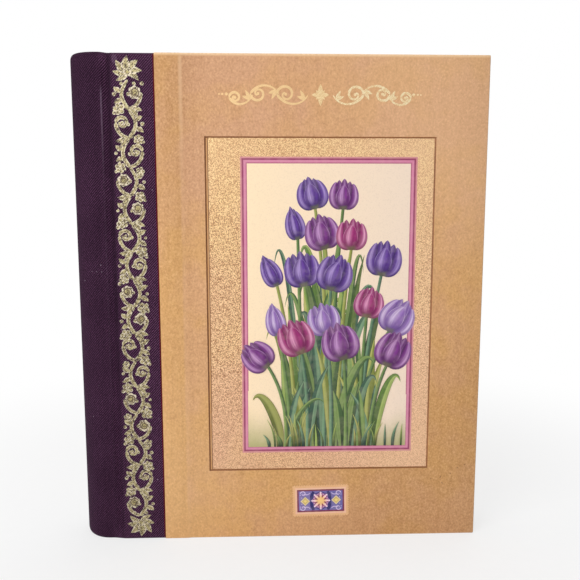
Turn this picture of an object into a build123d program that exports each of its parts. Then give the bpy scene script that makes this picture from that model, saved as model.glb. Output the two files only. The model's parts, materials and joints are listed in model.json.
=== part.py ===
from build123d import *
import math
import os

# Address book bound in quarter cloth, closed and standing on its tail.
# Millimetres. +Z is up, the front cover faces -Y and the spine is at -X.
# The origin is the middle of the book's footprint on the surface it stands on.

# Closed book
book_height = 203.0
book_width = 170.0
book_thickness = 25.0

# Case
board_thickness = 2.4
cloth_thickness = 0.3
paper_thickness = 0.2
inlay_thickness = 1.0
turn_in_width = 15.0
spine_turn_in = 12.0
cloth_show = 19.6
paper_lap = 9.6
lap_slope = 1.2
seam_gap = 0.05

# Joints: a round groove whose centre line is the line that a cover turns about
crown_to_joint = 16.0
groove_radius = 2.4
groove_rise = 0.8
spine_set = 0.5

# Panel pressed into the front cover
panel_width = 94.0
panel_height = 140.4
panel_foot = 30.3
panel_shift = -1.0
panel_depth = 0.45

# Leaf block
square = 3.0
endpaper_thickness = 0.2
endpaper_margin = 3.0
block_clearance = 0.2
section_gap = 0.1
divider_thickness = 0.35
leaf_width = 148.0
fold_depth = 7.0
fold_gap = 0.2
block_rounding = 4.5
mull_thickness = 0.3
liner_thickness = 0.25
liner_share = 0.8
band_radius = 0.8
band_share = 0.9
tab_projection = 7.5
tab_gap = 0.4
tab_corner = 2.0
section_names = ["ab", "cd", "ef", "gh", "ij", "kl", "mn", "op", "qr", "st", "uv", "wz"]

# Heights of the case's faces, measured outward from the middle of the book
half_thickness = book_thickness / 2
cloth_face = half_thickness - paper_thickness
board_face = cloth_face - cloth_thickness
paper_face = board_face + paper_thickness
board_back = board_face - board_thickness
paper_turn_face = board_back - paper_thickness
turn_in_face = board_back - cloth_thickness
pastedown_face = turn_in_face - endpaper_thickness
flyleaf_face = pastedown_face - block_clearance
flyleaf_back = flyleaf_face - endpaper_thickness
block_face = flyleaf_back - section_gap
edge_wrap = cloth_thickness + paper_thickness

# Places along the book's width
crown_x = -book_width / 2
fore_x = book_width / 2
board_fore_x = fore_x - edge_wrap
joint_x = crown_x + crown_to_joint
joint_height = cloth_face + groove_rise
joint_reach = groove_radius + cloth_thickness
board_spine_x = joint_x + joint_reach + seam_gap
spine_end_x = joint_x - joint_reach - seam_gap
paper_edge_x = joint_x + cloth_show
cloth_edge_x = paper_edge_x + paper_lap
panel_x = (paper_edge_x + fore_x) / 2 + panel_shift
fold_x = joint_x - fold_depth

# Half round of the spine, and the flatter round of the leaf block's back
shoulder_face = cloth_face - spine_set
spine_centre_x = crown_x + shoulder_face
back_radius = (block_face**2 + block_rounding**2) / (2 * block_rounding)
back_centre_x = fold_x - block_rounding + back_radius

# Leaves
leaf_foot = square
leaf_head = book_height - square
leaf_height = leaf_head - leaf_foot
section_count = len(section_names)
section_pitch = (2 * block_face + section_gap) / section_count
section_thickness = section_pitch - section_gap
tab_pitch = leaf_height / section_count

# A cutter reaches this far past the piece that it cuts
overcut = 5.0
front = -1
back = 1


def block(x_range, y_range, z_range):
    """A box from three ranges."""
    spans = [x_range, y_range, z_range]
    middle = [(low + high) / 2 for low, high in spans]
    size = [abs(high - low) for low, high in spans]
    return Pos(*middle) * Box(*size)


def slab(side, x_range, h_range, z_range):
    """A box on one side of the book, with h measured outward from the middle."""
    return block(x_range, [side * h for h in h_range], z_range)


def flat(side, x_range, h_range):
    """A rectangle in plan on one side of the book."""
    width = x_range[1] - x_range[0]
    depth = h_range[1] - h_range[0]
    centre = Pos(sum(x_range) / 2, side * sum(h_range) / 2)
    return centre * Rectangle(width, depth)


def raised(outline, z_range):
    """A plan outline drawn up between two heights."""
    return Pos(0, 0, z_range[0]) * extrude(outline, amount=z_range[1] - z_range[0])


full_height = [0, book_height]
board_z = [edge_wrap, book_height - edge_wrap]
leaf_z = [leaf_foot, leaf_head]


def board(side):
    """A stiff cover board; the front one has the panel's recess."""
    piece = slab(side, [board_spine_x, board_fore_x], [board_back, board_face], board_z)
    if side == front:
        piece -= panel_cutter(board_face - panel_depth, paper_thickness)
    return piece


def panel_cutter(floor, margin):
    """The panel's pocket from its floor outward, grown by a margin all round."""
    reach = panel_width / 2 + margin
    z_range = [panel_foot - margin, panel_foot + panel_height + margin]
    return slab(front, [panel_x - reach, panel_x + reach], [floor, floor + overcut], z_range)


def board_cloth(side):
    """Cloth on a board, turned in over its head and tail, thinned where the paper laps it."""
    x_range = [board_spine_x, cloth_edge_x]
    wide = [x_range[0] - overcut, x_range[1] + overcut]
    piece = slab(side, x_range, [turn_in_face, cloth_face], full_height)
    piece -= slab(side, wide, [board_back, board_face], board_z)
    inner_z = [turn_in_width, book_height - turn_in_width]
    piece -= slab(side, wide, [turn_in_face, board_back], inner_z)
    lap_x = [paper_edge_x, cloth_edge_x]
    for z_range in ([0, paper_thickness], [book_height - paper_thickness, book_height]):
        piece -= slab(side, lap_x, [turn_in_face, cloth_face], z_range)
    return piece


def board_paper(side, cloth):
    """Printed paper on a board: laps the cloth, turns in over head, tail and fore edge."""
    corners = [
        (paper_edge_x, paper_turn_face),
        (fore_x, paper_turn_face),
        (fore_x, paper_face),
        (cloth_edge_x + lap_slope, paper_face),
        (cloth_edge_x, half_thickness),
        (paper_edge_x, half_thickness),
    ]
    outline = make_face(Polyline([(x, side * h) for x, h in corners], close=True))
    piece = raised(outline, full_height)
    piece -= board(side)
    piece -= cloth
    inner_x = [paper_edge_x - overcut, fore_x - turn_in_width]
    inner_z = [turn_in_width, book_height - turn_in_width]
    piece -= slab(side, inner_x, [board_back - overcut, board_back], inner_z)
    if side == front:
        piece -= panel_cutter(paper_face - panel_depth, 0)
    return piece


def pastedown(side):
    """Endpaper half glued to a board's inside, stepped down between the turn-ins."""
    x_range = [board_spine_x, board_fore_x - endpaper_margin]
    z_range = [edge_wrap + endpaper_margin, book_height - edge_wrap - endpaper_margin]
    well_x = [board_spine_x, fore_x - turn_in_width]
    well_z = [turn_in_width, book_height - turn_in_width]
    piece = slab(side, x_range, [pastedown_face, turn_in_face], z_range)
    piece += slab(side, well_x, [pastedown_face, board_back], well_z)
    pocket_x = [well_x[0] - overcut, well_x[1] - endpaper_thickness]
    pocket_z = [well_z[0] + endpaper_thickness, well_z[1] - endpaper_thickness]
    pocket_top = board_back - endpaper_thickness
    return piece - slab(side, pocket_x, [pocket_top - overcut, pocket_top], pocket_z)


def joint_cloth(side):
    """Cloth pressed into a joint: a round groove with a lip on the spine and on the board."""
    centre = Pos(joint_x, side * joint_height)
    ring = centre * (Circle(joint_reach) - Circle(groove_radius))
    low = joint_height - joint_reach
    spine_half = flat(side, [joint_x - joint_reach, joint_x], [low, shoulder_face])
    board_half = flat(side, [joint_x, joint_x + joint_reach], [low, cloth_face])
    outline = ring & (spine_half + board_half)
    spine_lip = [shoulder_face - cloth_thickness, shoulder_face]
    board_lip = [board_face, cloth_face]
    spine_lip_x = joint_x - math.sqrt(groove_radius**2 - (joint_height - shoulder_face) ** 2)
    board_lip_x = joint_x + math.sqrt(groove_radius**2 - groove_rise**2)
    outline += flat(side, [joint_x - joint_reach, spine_lip_x], spine_lip)
    outline += flat(side, [board_lip_x, joint_x + joint_reach], board_lip)
    return raised(outline, full_height)


def spine_round(radius):
    """Plan of the spine out to one radius: a half round, then straight to the joints."""
    lower = (spine_centre_x, -radius)
    upper = (spine_centre_x, radius)
    half_round = ThreePointArc(lower, (spine_centre_x - radius, 0), upper)
    straight = Polyline(upper, (spine_end_x, radius), (spine_end_x, -radius), lower)
    return make_face([half_round, straight])


def spine_shell(outer, inner, z_range):
    """Spine layer between two radii, open towards the leaves."""
    return raised(spine_round(outer) - spine_round(inner), z_range)


def endpaper_fold(side):
    """Gutter of a folded endpaper: one leg meets the pastedown and one meets the flyleaf."""
    legs = flat(side, [fold_x, joint_x + joint_reach], [pastedown_face, turn_in_face])
    legs += flat(side, [fold_x, joint_x - fold_gap], [flyleaf_back, flyleaf_face])
    legs += flat(side, [fold_x, fold_x + endpaper_thickness], [flyleaf_back, turn_in_face])
    return raised(legs, leaf_z)


def flyleaf(side):
    """Free half of an endpaper."""
    x_range = [joint_x, fold_x + leaf_width + tab_projection]
    return slab(side, x_range, [flyleaf_back, flyleaf_face], leaf_z)


def section_start(index):
    """Front face of a section."""
    return index * section_pitch - block_face


def back_x(y):
    """Where the rounded back of the leaf block lies at one depth."""
    return back_centre_x - math.sqrt(back_radius**2 - y**2)


def section_fold(index):
    """Folded back edge of a section, rounded and held inside the block's round."""
    start = section_start(index)
    middle = start + section_thickness / 2
    radius = section_thickness / 2
    nose_x = back_x(abs(middle) + radius) + radius
    outline = Pos(nose_x, middle) * Circle(radius)
    outline += flat(back, [nose_x, joint_x - fold_gap], [start, start + section_thickness])
    return raised(outline, leaf_z)


def leaf_edge(index):
    """Fore edge of a section's leaves, set back as far as its fold is."""
    return back_x(section_start(index) + section_thickness / 2) + leaf_width


def divider(index):
    """Tabbed card in front of a section's leaves."""
    y_range = [section_start(index), section_start(index) + divider_thickness]
    edge_x = leaf_edge(index)
    card = block([joint_x, edge_x], y_range, leaf_z)
    tab_head = leaf_head - index * tab_pitch
    tab_height = tab_pitch - tab_gap
    tab = RectangleRounded(2 * tab_projection, tab_height, tab_corner)
    place = Pos(edge_x, y_range[1], tab_head - tab_height / 2) * Rot(90, 0, 0)
    return card + place * extrude(tab, amount=divider_thickness)


def leaves(index):
    """Pack of ruled leaves behind a divider."""
    start = section_start(index)
    y_range = [start + divider_thickness, start + section_thickness]
    return block([joint_x, leaf_edge(index)], y_range, leaf_z)


def back_layer(inner, thickness, share):
    """Layer glued round the leaf block's back, over a share of the block's thickness."""
    centre = Pos(back_centre_x, 0)
    ring = centre * (Circle(inner + thickness) - Circle(inner))
    reach = share * block_face
    strip = flat(back, [crown_x, back_centre_x], [-reach, reach])
    return raised(ring & strip, leaf_z)


def band(height):
    """Corded band that caps the section folds at head or tail."""
    cord = Pos(back_centre_x, 0, height) * Torus(back_radius - band_radius, band_radius)
    reach = band_share * block_face
    z_range = [height - band_radius, height + band_radius]
    return cord & block([crown_x, fold_x], [-reach, reach], z_range)


nodes = {}
for name, side in (("front", front), ("back", back)):
    cloth = board_cloth(side)
    nodes[f"{name}_board"] = board(side)
    nodes[f"{name}_cloth"] = cloth
    nodes[f"{name}_paper"] = board_paper(side, cloth)
    nodes[f"{name}_pastedown"] = pastedown(side)
    nodes[f"{name}_joint_cloth"] = joint_cloth(side)
    nodes[f"{name}_endpaper_fold"] = endpaper_fold(side)
    nodes[f"{name}_flyleaf"] = flyleaf(side)

inlay_face = shoulder_face - cloth_thickness
inlay_back = inlay_face - inlay_thickness
spine_turn_face = inlay_back - cloth_thickness
spine_wrap = spine_shell(shoulder_face, spine_turn_face, full_height)
spine_wrap -= spine_shell(inlay_face, inlay_back, board_z)
spine_inner_z = [spine_turn_in, book_height - spine_turn_in]
spine_wrap -= spine_shell(inlay_back, spine_turn_face, spine_inner_z)
nodes["spine_inlay"] = spine_shell(inlay_face, inlay_back, board_z)
nodes["spine_cloth"] = spine_wrap

nodes["section_folds"] = Compound(children=[section_fold(index) for index in range(section_count)])
nodes["mull"] = back_layer(back_radius, mull_thickness, 1)
liner_inner = back_radius + mull_thickness + seam_gap
nodes["spine_liner"] = back_layer(liner_inner, liner_thickness, liner_share)
nodes["head_band"] = band(leaf_head + band_radius)
nodes["tail_band"] = band(leaf_foot - band_radius)

for index, letters in enumerate(section_names):
    nodes[f"divider_{letters}"] = divider(index)
    nodes[f"leaves_{letters}"] = leaves(index)

os.makedirs("parts", exist_ok=True)
for name, shape in nodes.items():
    export_step(shape, f"parts/{name}.step")
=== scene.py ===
"""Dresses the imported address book: cloth, printed papers, foil, leaves, light and camera.

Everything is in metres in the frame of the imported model: +Z up, front cover towards -Y, spine at -X.
Prints and foil are drawn in millimetres, each spot a complex number: across the front cover and up it.
"""

import cmath
import json
import logging
import random
from dataclasses import dataclass
from enum import Enum
from functools import partial
from math import asin, atan2, comb, copysign, cos, degrees, exp, hypot, pi, radians, sin, sqrt, tau
from typing import Callable, Iterable, Sequence, Union

import bmesh
import bpy
from bmesh.types import BMEdge, BMFace, BMVert
from bpy.types import Material, NodeSocket, Object
from mathutils import Matrix, Vector

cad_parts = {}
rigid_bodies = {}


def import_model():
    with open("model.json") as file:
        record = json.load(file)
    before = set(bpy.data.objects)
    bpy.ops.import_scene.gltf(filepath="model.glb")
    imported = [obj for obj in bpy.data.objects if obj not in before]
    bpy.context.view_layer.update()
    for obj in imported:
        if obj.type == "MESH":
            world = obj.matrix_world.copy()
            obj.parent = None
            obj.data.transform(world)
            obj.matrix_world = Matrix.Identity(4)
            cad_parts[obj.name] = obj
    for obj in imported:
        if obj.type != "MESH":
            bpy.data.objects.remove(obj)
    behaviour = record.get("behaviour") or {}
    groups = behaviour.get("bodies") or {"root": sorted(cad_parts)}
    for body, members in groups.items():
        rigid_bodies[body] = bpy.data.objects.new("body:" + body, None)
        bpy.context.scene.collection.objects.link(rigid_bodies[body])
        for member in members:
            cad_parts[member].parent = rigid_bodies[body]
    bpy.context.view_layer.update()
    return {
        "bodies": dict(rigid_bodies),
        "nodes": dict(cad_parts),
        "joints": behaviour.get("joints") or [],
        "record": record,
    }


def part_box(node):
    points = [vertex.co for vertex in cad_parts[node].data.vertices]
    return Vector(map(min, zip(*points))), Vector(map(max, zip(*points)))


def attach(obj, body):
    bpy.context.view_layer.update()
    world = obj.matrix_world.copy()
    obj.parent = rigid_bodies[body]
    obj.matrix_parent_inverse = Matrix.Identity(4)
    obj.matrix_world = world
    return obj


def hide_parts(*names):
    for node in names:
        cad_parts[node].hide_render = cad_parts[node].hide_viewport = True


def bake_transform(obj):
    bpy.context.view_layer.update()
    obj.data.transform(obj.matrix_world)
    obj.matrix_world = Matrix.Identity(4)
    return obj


LOG = logging.getLogger("address_book")
MM = 0.001
TOUCH = 1e-6
FLAT_MAP = "flat"
INK_LAYER = "ink"

Colour = tuple[float, float, float]
Pair = tuple[float, float]
Key = Union[str, int]
Setting = Union["Pattern", float, Sequence[float]]


def tint(*display: float) -> Colour:
    """Linear colour, for a shader, of a display's red, green and blue from 0 to 255."""
    shares = [value / 255 for value in display]
    return tuple(s / 12.92 if s <= 0.04045 else ((s + 0.055) / 1.055) ** 2.4 for s in shares)


def mingle(first: Colour, second: Colour, share: float) -> Colour:
    """Mix two colours by the share of the second one."""
    return tuple(a + (b - a) * share for a, b in zip(first, second))


class Side(Enum):
    """Cover that a piece belongs to; the value is the sign of its outward Y."""

    FRONT = -1
    BACK = 1

    @property
    def word(self) -> str:
        """Word that starts the names of this side's nodes."""
        return self.name.lower()


class Layout(Enum):
    """Coordinates that a pattern is laid out by: their node, its output and its options."""

    BODY = ("TexCoord", "Object", {})
    FLAT = ("UVMap", "UV", {"uv_map": FLAT_MAP})


class BookFrame:
    """Places of the bound book, with h measured outward from its middle."""

    def __init__(self) -> None:
        """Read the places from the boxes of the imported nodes."""
        board_low, board_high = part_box("front_board")
        cloth_low, cloth_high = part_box("front_cloth")
        paper_low, paper_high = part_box("front_paper")
        joint_low, joint_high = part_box("front_joint_cloth")
        spine_low, spine_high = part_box("spine_cloth")
        leaf_low, leaf_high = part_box("front_flyleaf")
        self.foot, self.head = paper_low.z, paper_high.z
        self.middle_z = (self.foot + self.head) / 2
        self.crown_x, self.spine_end_x = spine_low.x, spine_high.x
        self.spine_radius = spine_high.y
        self.spine_x = self.crown_x + self.spine_radius
        self.joint_x = (joint_low.x + joint_high.x) / 2
        self.joint_reach = (joint_high.x - joint_low.x) / 2
        self.joint_h = self.joint_reach - joint_high.y
        self.board_spine_x, self.wrap = board_low.x, board_low.z
        self.board_h, self.board_back_h = -board_low.y, -board_high.y
        self.cloth_edge_x = cloth_high.x
        self.cloth_h, self.turn_h = -cloth_low.y, -cloth_high.y
        self.paper_edge_x, self.fore_x = paper_low.x, paper_high.x
        self.half, self.paper_turn_h = -paper_low.y, -paper_high.y
        self.paper_h = self.board_h + (self.half - self.cloth_h)
        self.leaf_x, self.leaf_foot, self.leaf_head = leaf_low.x, leaf_low.z, leaf_high.z


@dataclass(frozen=True)
class Pattern:
    """Output of a node in a material: arithmetic with it adds nodes to that material."""

    pen: "NodeWriter"
    socket: NodeSocket

    def __add__(self, other: Setting) -> "Pattern":
        """Sum."""
        return self.pen.maths("ADD", self, other)

    def __sub__(self, other: Setting) -> "Pattern":
        """Difference."""
        return self.pen.maths("SUBTRACT", self, other)

    def __mul__(self, other: Setting) -> "Pattern":
        """Product."""
        return self.pen.maths("MULTIPLY", self, other)

    def __or__(self, other: Setting) -> "Pattern":
        """Larger of two."""
        return self.pen.maths("MAXIMUM", self, other)

    def __abs__(self) -> "Pattern":
        """Size without sign."""
        return self.pen.maths("ABSOLUTE", self)

    def wave(self, length: float) -> "Pattern":
        """Wave of a length that goes from 0 to 1 and back."""
        return self.pen.maths("SINE", self * (tau / length)) * 0.5 + 0.5

    def fade(self, low: float, high: float, start: float = 0.0, end: float = 1.0) -> "Pattern":
        """Smooth change from start, where the pattern is low, to end, where it is high."""
        inputs = {"Value": self, "From Min": low, "From Max": high, "To Min": start, "To Max": end}
        return self.pen.add("MapRange", "Result", inputs, interpolation_type="SMOOTHSTEP")

    def within(self, low: float, high: float, soft: float = 0.1) -> "Pattern":
        """One between two numbers."""
        return self.fade(low - soft, low + soft) * self.fade(high + soft, high - soft)


class NodeWriter:
    """Writes one procedural material, with every pattern laid out in millimetres."""

    def __init__(self, name: str, roughness: float, metallic: float = 0.0, specular: float = 0.5) -> None:
        """Start a material.

        Args:
            name: Name of the material.
            roughness: Roughness where no pattern sets it.
            metallic: Share of metal.
            specular: Specular level.
        """
        self.material = bpy.data.materials.new(name)
        self.material.use_nodes = True
        self.tree = self.material.node_tree
        self.output = self.tree.nodes["Material Output"]
        self.shader = self.tree.nodes["Principled BSDF"]
        self.set("Roughness", roughness)
        self.set("Metallic", metallic)
        self.set("Specular IOR Level", specular)

    def _give(self, socket: NodeSocket, value: Setting) -> None:
        """Link or set one input.

        Args:
            socket: The input.
            value: Pattern, number, colour or vector that it gets.
        """
        if isinstance(value, Pattern):
            self.tree.links.new(value.socket, socket)
        else:
            socket.default_value = (*value, 1.0) if socket.type == "RGBA" else value

    def set(self, name: str, value: Setting) -> None:
        """Give one input of the surface shader a value or a pattern."""
        self._give(self.shader.inputs[name], value)

    def add(self, kind: str, result: Key, inputs: dict[Key, Setting], **options: object) -> Pattern:
        """Add a node.

        Args:
            kind: Node type without its leading ShaderNode.
            result: Output to use.
            inputs: Values or patterns of its inputs.
            options: Properties of the node.

        Returns:
            The output.
        """
        node = self.tree.nodes.new("ShaderNode" + kind)
        for key, value in options.items():
            setattr(node, key, value)
        for key, value in inputs.items():
            self._give(node.inputs[key], value)
        return Pattern(self, node.outputs[result])

    def place(self, layout: Layout, stretch: Sequence[float] = (1, 1, 1)) -> Pattern:
        """Coordinates in millimetres, times a factor on each axis."""
        source = self.add(*layout.value[:2], {}, **layout.value[2])
        return self.add("Mapping", "Vector", {"Vector": source, "Scale": [factor / MM for factor in stretch]})

    def axes(self, place: Pattern) -> list[Pattern]:
        """Split coordinates into their three numbers."""
        node = self.add("SeparateXYZ", "X", {"Vector": place}).socket.node
        return [Pattern(self, output) for output in node.outputs]

    def maths(self, operation: str, *values: Setting) -> Pattern:
        """One arithmetic step, named as Blender names it."""
        return self.add("Math", "Value", dict(enumerate(values)), operation=operation)

    def grain(self, place: Pattern, size: float, detail: float = 2.0, rough: float = 0.5) -> Pattern:
        """Noise whose lumps are about one size across."""
        inputs = {"Vector": place, "Scale": 1 / size, "Detail": detail, "Roughness": rough}
        return self.add("TexNoise", "Fac", inputs)

    def cells(self, place: Pattern, size: float) -> Pattern:
        """Distance from the middles of cells of one size."""
        return self.add("TexVoronoi", "Distance", {"Vector": place, "Scale": 1 / size})

    def ink(self) -> Pattern:
        """Colour that the shapes of a print carry."""
        return self.add("VertexColor", "Color", {}, layer_name=INK_LAYER)

    def mix(self, share: Setting, first: Setting, second: Setting) -> Pattern:
        """Mix two colours by the share of the second one."""
        return self.add("Mix", 2, {0: share, 6: first, 7: second}, data_type="RGBA")

    def relief(self, height: Pattern, depth: float) -> None:
        """Give the surface a relief of a depth from a height pattern."""
        inputs = {"Height": height, "Distance": depth * MM, "Strength": 1.0}
        self.set("Normal", self.add("Bump", "Normal", inputs))


@dataclass(frozen=True)
class TwillCloth:
    """Dark purple twill cloth, rubbed along the front shoulder, with a little lint; painted shade on the
    spine and in the groove.
    """

    book: BookFrame
    deep: Colour = tint(20, 4, 18)
    yarn: Colour = tint(146, 94, 136)
    # Colour of the painted shade in the front groove.
    dirt: Colour = tint(20, 5, 18)
    rubbed: Colour = tint(126, 102, 124)
    glue: Colour = tint(92, 14, 18)
    lint: Colour = tint(190, 174, 190)
    sheen: Colour = tint(190, 150, 190)
    rib: float = 1.0
    pick: float = 0.5

    def make(self) -> Material:
        """Write the material.

        Returns:
            The material.
        """
        pen = NodeWriter("book_cloth", roughness=0.85, specular=0.08)
        place = pen.place(Layout.FLAT)
        across, up, _ = pen.axes(place)
        joint, seam, head = self.book.joint_x / MM, self.book.paper_edge_x / MM, self.book.head / MM
        shoulder, groove = joint - 1.8, joint + 1.5
        wander = pen.grain(place, 4.0) * (0.45 * self.rib)
        rib = (across - up * 0.9 + wander).wave(self.rib)
        pick = (across * 0.7 + up).wave(self.pick)
        slub = pen.grain(pen.place(Layout.FLAT, (1.0, 1.6, 1)), 0.75, 3.0, 0.66)
        flat = across.fade(shoulder - 2.0, shoulder + 4.0)
        weave = (rib - 0.5) * flat.fade(0, 1, 0.48, 0.7) + 0.37 + pick * 0.25
        lit = weave * weave * slub.fade(0.32, 0.68, 0.22, 0.92)
        dull = pen.grain(place, 18.0, 3.0).fade(0.3, 0.7, 0.82, 1.12)
        # Painted shade: the yarn darkens from the front shoulder round the spine and over all that lies
        # beyond it.
        round_back_shade = across.fade(shoulder - 2.5, shoulder + 1.5, 0.62, 1.0)
        woven = pen.mix(lit * dull * round_back_shade, self.deep, self.yarn)
        # Painted shade in the front groove, stronger from the foot up to mid-height.
        depth = abs(across - groove).fade(2.2, 0.1) * up.fade(10.0, 120.0, 0.3, 0.62)
        line = abs(across - shoulder).fade(0.48, 0.08) * up.fade(191.5, 187.0)
        strength = up.fade(152.0, 182.0, 0.0, 0.55) + up.fade(30.0, 120.0, 0.03, 0.08)
        aside, below = (across - (groove + 2.6)) * 0.8, (up - (head - 2.6)) * 0.42
        corner = (aside * aside + below * below).fade(1.3, 0.1, 0.0, 0.3) * slub.fade(0.3, 0.6, 0.3, 1.0)
        rubs = line * strength * slub.fade(0.25, 0.6, 0.4, 1.0) | corner
        # Mixes in the painted groove shade, then the real rubs along the shoulder and at the head of the
        # joint.
        graded = pen.mix(rubs, pen.mix(depth, woven, self.dirt), self.rubbed)
        edge = across.fade(seam - 0.8, seam - 0.35, 0.0, 0.9) * across.fade(seam + 0.8, seam + 0.3)
        glued = pen.mix(edge, graded, self.glue)
        specks = pen.cells(pen.place(Layout.FLAT, (1.0, 0.7, 1)), 2.6).fade(0.075, 0.04)
        fleck = specks * pen.grain(place, 6.0, 1.0).fade(0.5, 0.58)
        pen.set("Base Color", pen.mix(fleck * 0.55, glued, self.lint))
        pen.set("Roughness", weave * -0.1 + 0.88)
        pen.set("Sheen Weight", 0.02)
        pen.set("Sheen Roughness", 0.4)
        pen.set("Sheen Tint", self.sheen)
        pen.relief(slub * 0.5 + weave, 0.07)
        return pen.material


@dataclass(frozen=True)
class CoverPaper:
    """Tan mottled cover paper, rubbed pale at its foot and fore edge, with painted highlights at its head and
    lap.
    """

    book: BookFrame
    warm: Colour = tint(215, 165, 106)
    rosy: Colour = tint(213, 163, 126)
    deep: Colour = tint(166, 116, 68)
    pale: Colour = tint(243, 200, 150)
    # Pale colour of the real rubs and of the painted highlights.
    scuffed: Colour = tint(248, 212, 168)

    def make(self) -> Material:
        """Write the material.

        Returns:
            The material.
        """
        pen = NodeWriter("cover_paper", roughness=0.5, specular=0.3)
        place = pen.place(Layout.BODY)
        across, _, up = pen.axes(place)
        foot, head = self.book.foot / MM, self.book.head / MM
        fore, lap = self.book.fore_x / MM, self.book.cloth_edge_x / MM
        # lean: painted light falloff, darker towards the lower fore and upper spine corners, lighter towards
        # the other two.
        lean = across * (1 / fore) * up.fade(foot, head, 1.0, -1.0)
        clouds = pen.grain(place, 26.0, 3.0, 0.6).fade(0.36, 0.64, 0.0, 0.6)
        # high: painted sheen, rosier towards the head.
        high = up.fade(head - 110, head - 20, 0.0, 0.6)
        rose = clouds + high + across.fade(lap + 0.6, lap - 0.6, 0.0, -0.5)
        streak = pen.grain(pen.place(Layout.BODY, (1.0, 1.0, 0.04)), 2.0, 2.0, 0.55)
        fibre = pen.grain(pen.place(Layout.BODY, (1.0, 1.0, 0.8)), 0.75, 3.0, 0.7)
        mottle = pen.grain(place, 3.4, 3.0, 0.6)
        # The lean terms below add painted shade towards the deep colour and painted light towards the pale
        # one.
        shade = streak.fade(0.42, 0.7, 0.0, 0.1) + fibre.fade(0.44, 0.74, 0.0, 0.42)
        shade = shade + mottle.fade(0.5, 0.75, 0.0, 0.14) + lean.fade(0.0, 0.6, 0.0, 0.22)
        grained = pen.mix(shade, pen.mix(rose, self.warm, self.rosy), self.deep)
        light = fibre.fade(0.48, 0.26, 0.0, 0.42) + lean.fade(0.0, -0.7, 0.0, 0.24)
        flecked = pen.mix(light, grained, self.pale)
        # Painted highlights along the lap ridge, strongest towards the head, and along the head edge; real
        # rubbing along the foot and the fore edge.
        ridge_highlight = abs(across - (lap + 0.5)).fade(1.1, 0.1) * up.fade(head - 60, head - 4, 0.06, 0.36)
        ends = up.fade(head - 1.5, head - 0.3, 0.0, 0.9) | up.fade(foot + 1.1, foot + 0.1, 0.0, 0.12)
        wear_and_highlight = ridge_highlight | ends | across.fade(fore - 1.1, fore - 0.1, 0.0, 0.12)
        pen.set("Base Color", pen.mix(wear_and_highlight * fibre.fade(0.35, 0.6, 0.55, 1.0), flecked, self.scuffed))
        pen.set("Roughness", fibre.fade(0.3, 0.7, 0.44, 0.6))
        pen.relief(fibre, 0.03)
        return pen.material


@dataclass(frozen=True)
class GoldStipple:
    """Gold stipple on the floor of the pressed panel, yellow at its head, rosy at its foot."""

    foot: float
    head: float
    light: Colour = tint(255, 226, 164)
    mid: Colour = tint(234, 186, 130)
    dark: Colour = tint(150, 98, 56)
    rosy: Colour = tint(220, 170, 136)
    blush: Colour = tint(250, 208, 164)
    fore_x: float = 60.0

    def make(self) -> Material:
        """Write the material.

        Returns:
            The material.
        """
        pen = NodeWriter("gold_stipple", roughness=0.42, metallic=0.15, specular=0.5)
        place = pen.place(Layout.BODY)
        across, _, up = pen.axes(place)
        foot, head = self.foot / MM, self.head / MM
        middle = (foot + head) / 2
        tone = pen.grain(place, 0.21, 2.0, 0.6) * 0.35 + pen.grain(place, 0.36) * 0.65
        patch = pen.grain(place, 34.0).fade(0.35, 0.65) * 0.35
        rose = across.fade(0, self.fore_x, 0.0, 0.3) + patch + up.fade(head, foot, 0.0, 0.65)
        ground = pen.mix(rose, self.mid, self.rosy)
        body = pen.mix(across.fade(0, self.fore_x, 0.0, 0.4), ground, self.blush)
        # Height factor only: specks strongest at the head and fainter towards the foot.
        graded = up.fade(head, middle + 10, 1.2, 1.05) * up.fade(foot, middle, 0.6, 1.05)
        lit = pen.mix(tone.fade(0.49, 0.59) * graded, body, pen.mix(rose, self.light, self.blush))
        faint = graded * up.fade(head, middle, 0.35, 1.0) * up.fade(foot, middle, 0.75, 1.0)
        dotted = tone.fade(0.515, 0.39, 0.0, 1.15) * faint * across.fade(0, self.fore_x, 1.15, 0.6)
        pen.set("Base Color", pen.mix(dotted, lit, self.dark))
        pen.set("Roughness", tone.fade(0.35, 0.65, 0.55, 0.36))
        pen.relief(tone, 0.03)
        return pen.material


@dataclass(frozen=True)
class PlainStock:
    """A paper, card, board or thread with a grain of its own."""

    name: str
    light: Colour
    dark: Colour
    grain: float = 0.6
    layout: Layout = Layout.BODY
    roughness: float = 0.75
    depth: float = 0.02

    def make(self) -> Material:
        """Write the material.

        Returns:
            The material.
        """
        pen = NodeWriter(self.name, roughness=self.roughness, specular=0.3)
        place = pen.place(self.layout)
        grain = pen.grain(place, self.grain, 4.0, 0.62)
        share = pen.grain(place, 22.0).fade(0.35, 0.65) * 0.3 + grain.fade(0.35, 0.7, 0.0, 0.7)
        pen.set("Base Color", pen.mix(share, self.light, self.dark))
        pen.set("Roughness", grain.fade(0.3, 0.7, self.roughness - 0.06, self.roughness + 0.08))
        pen.relief(grain, self.depth)
        return pen.material


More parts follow.
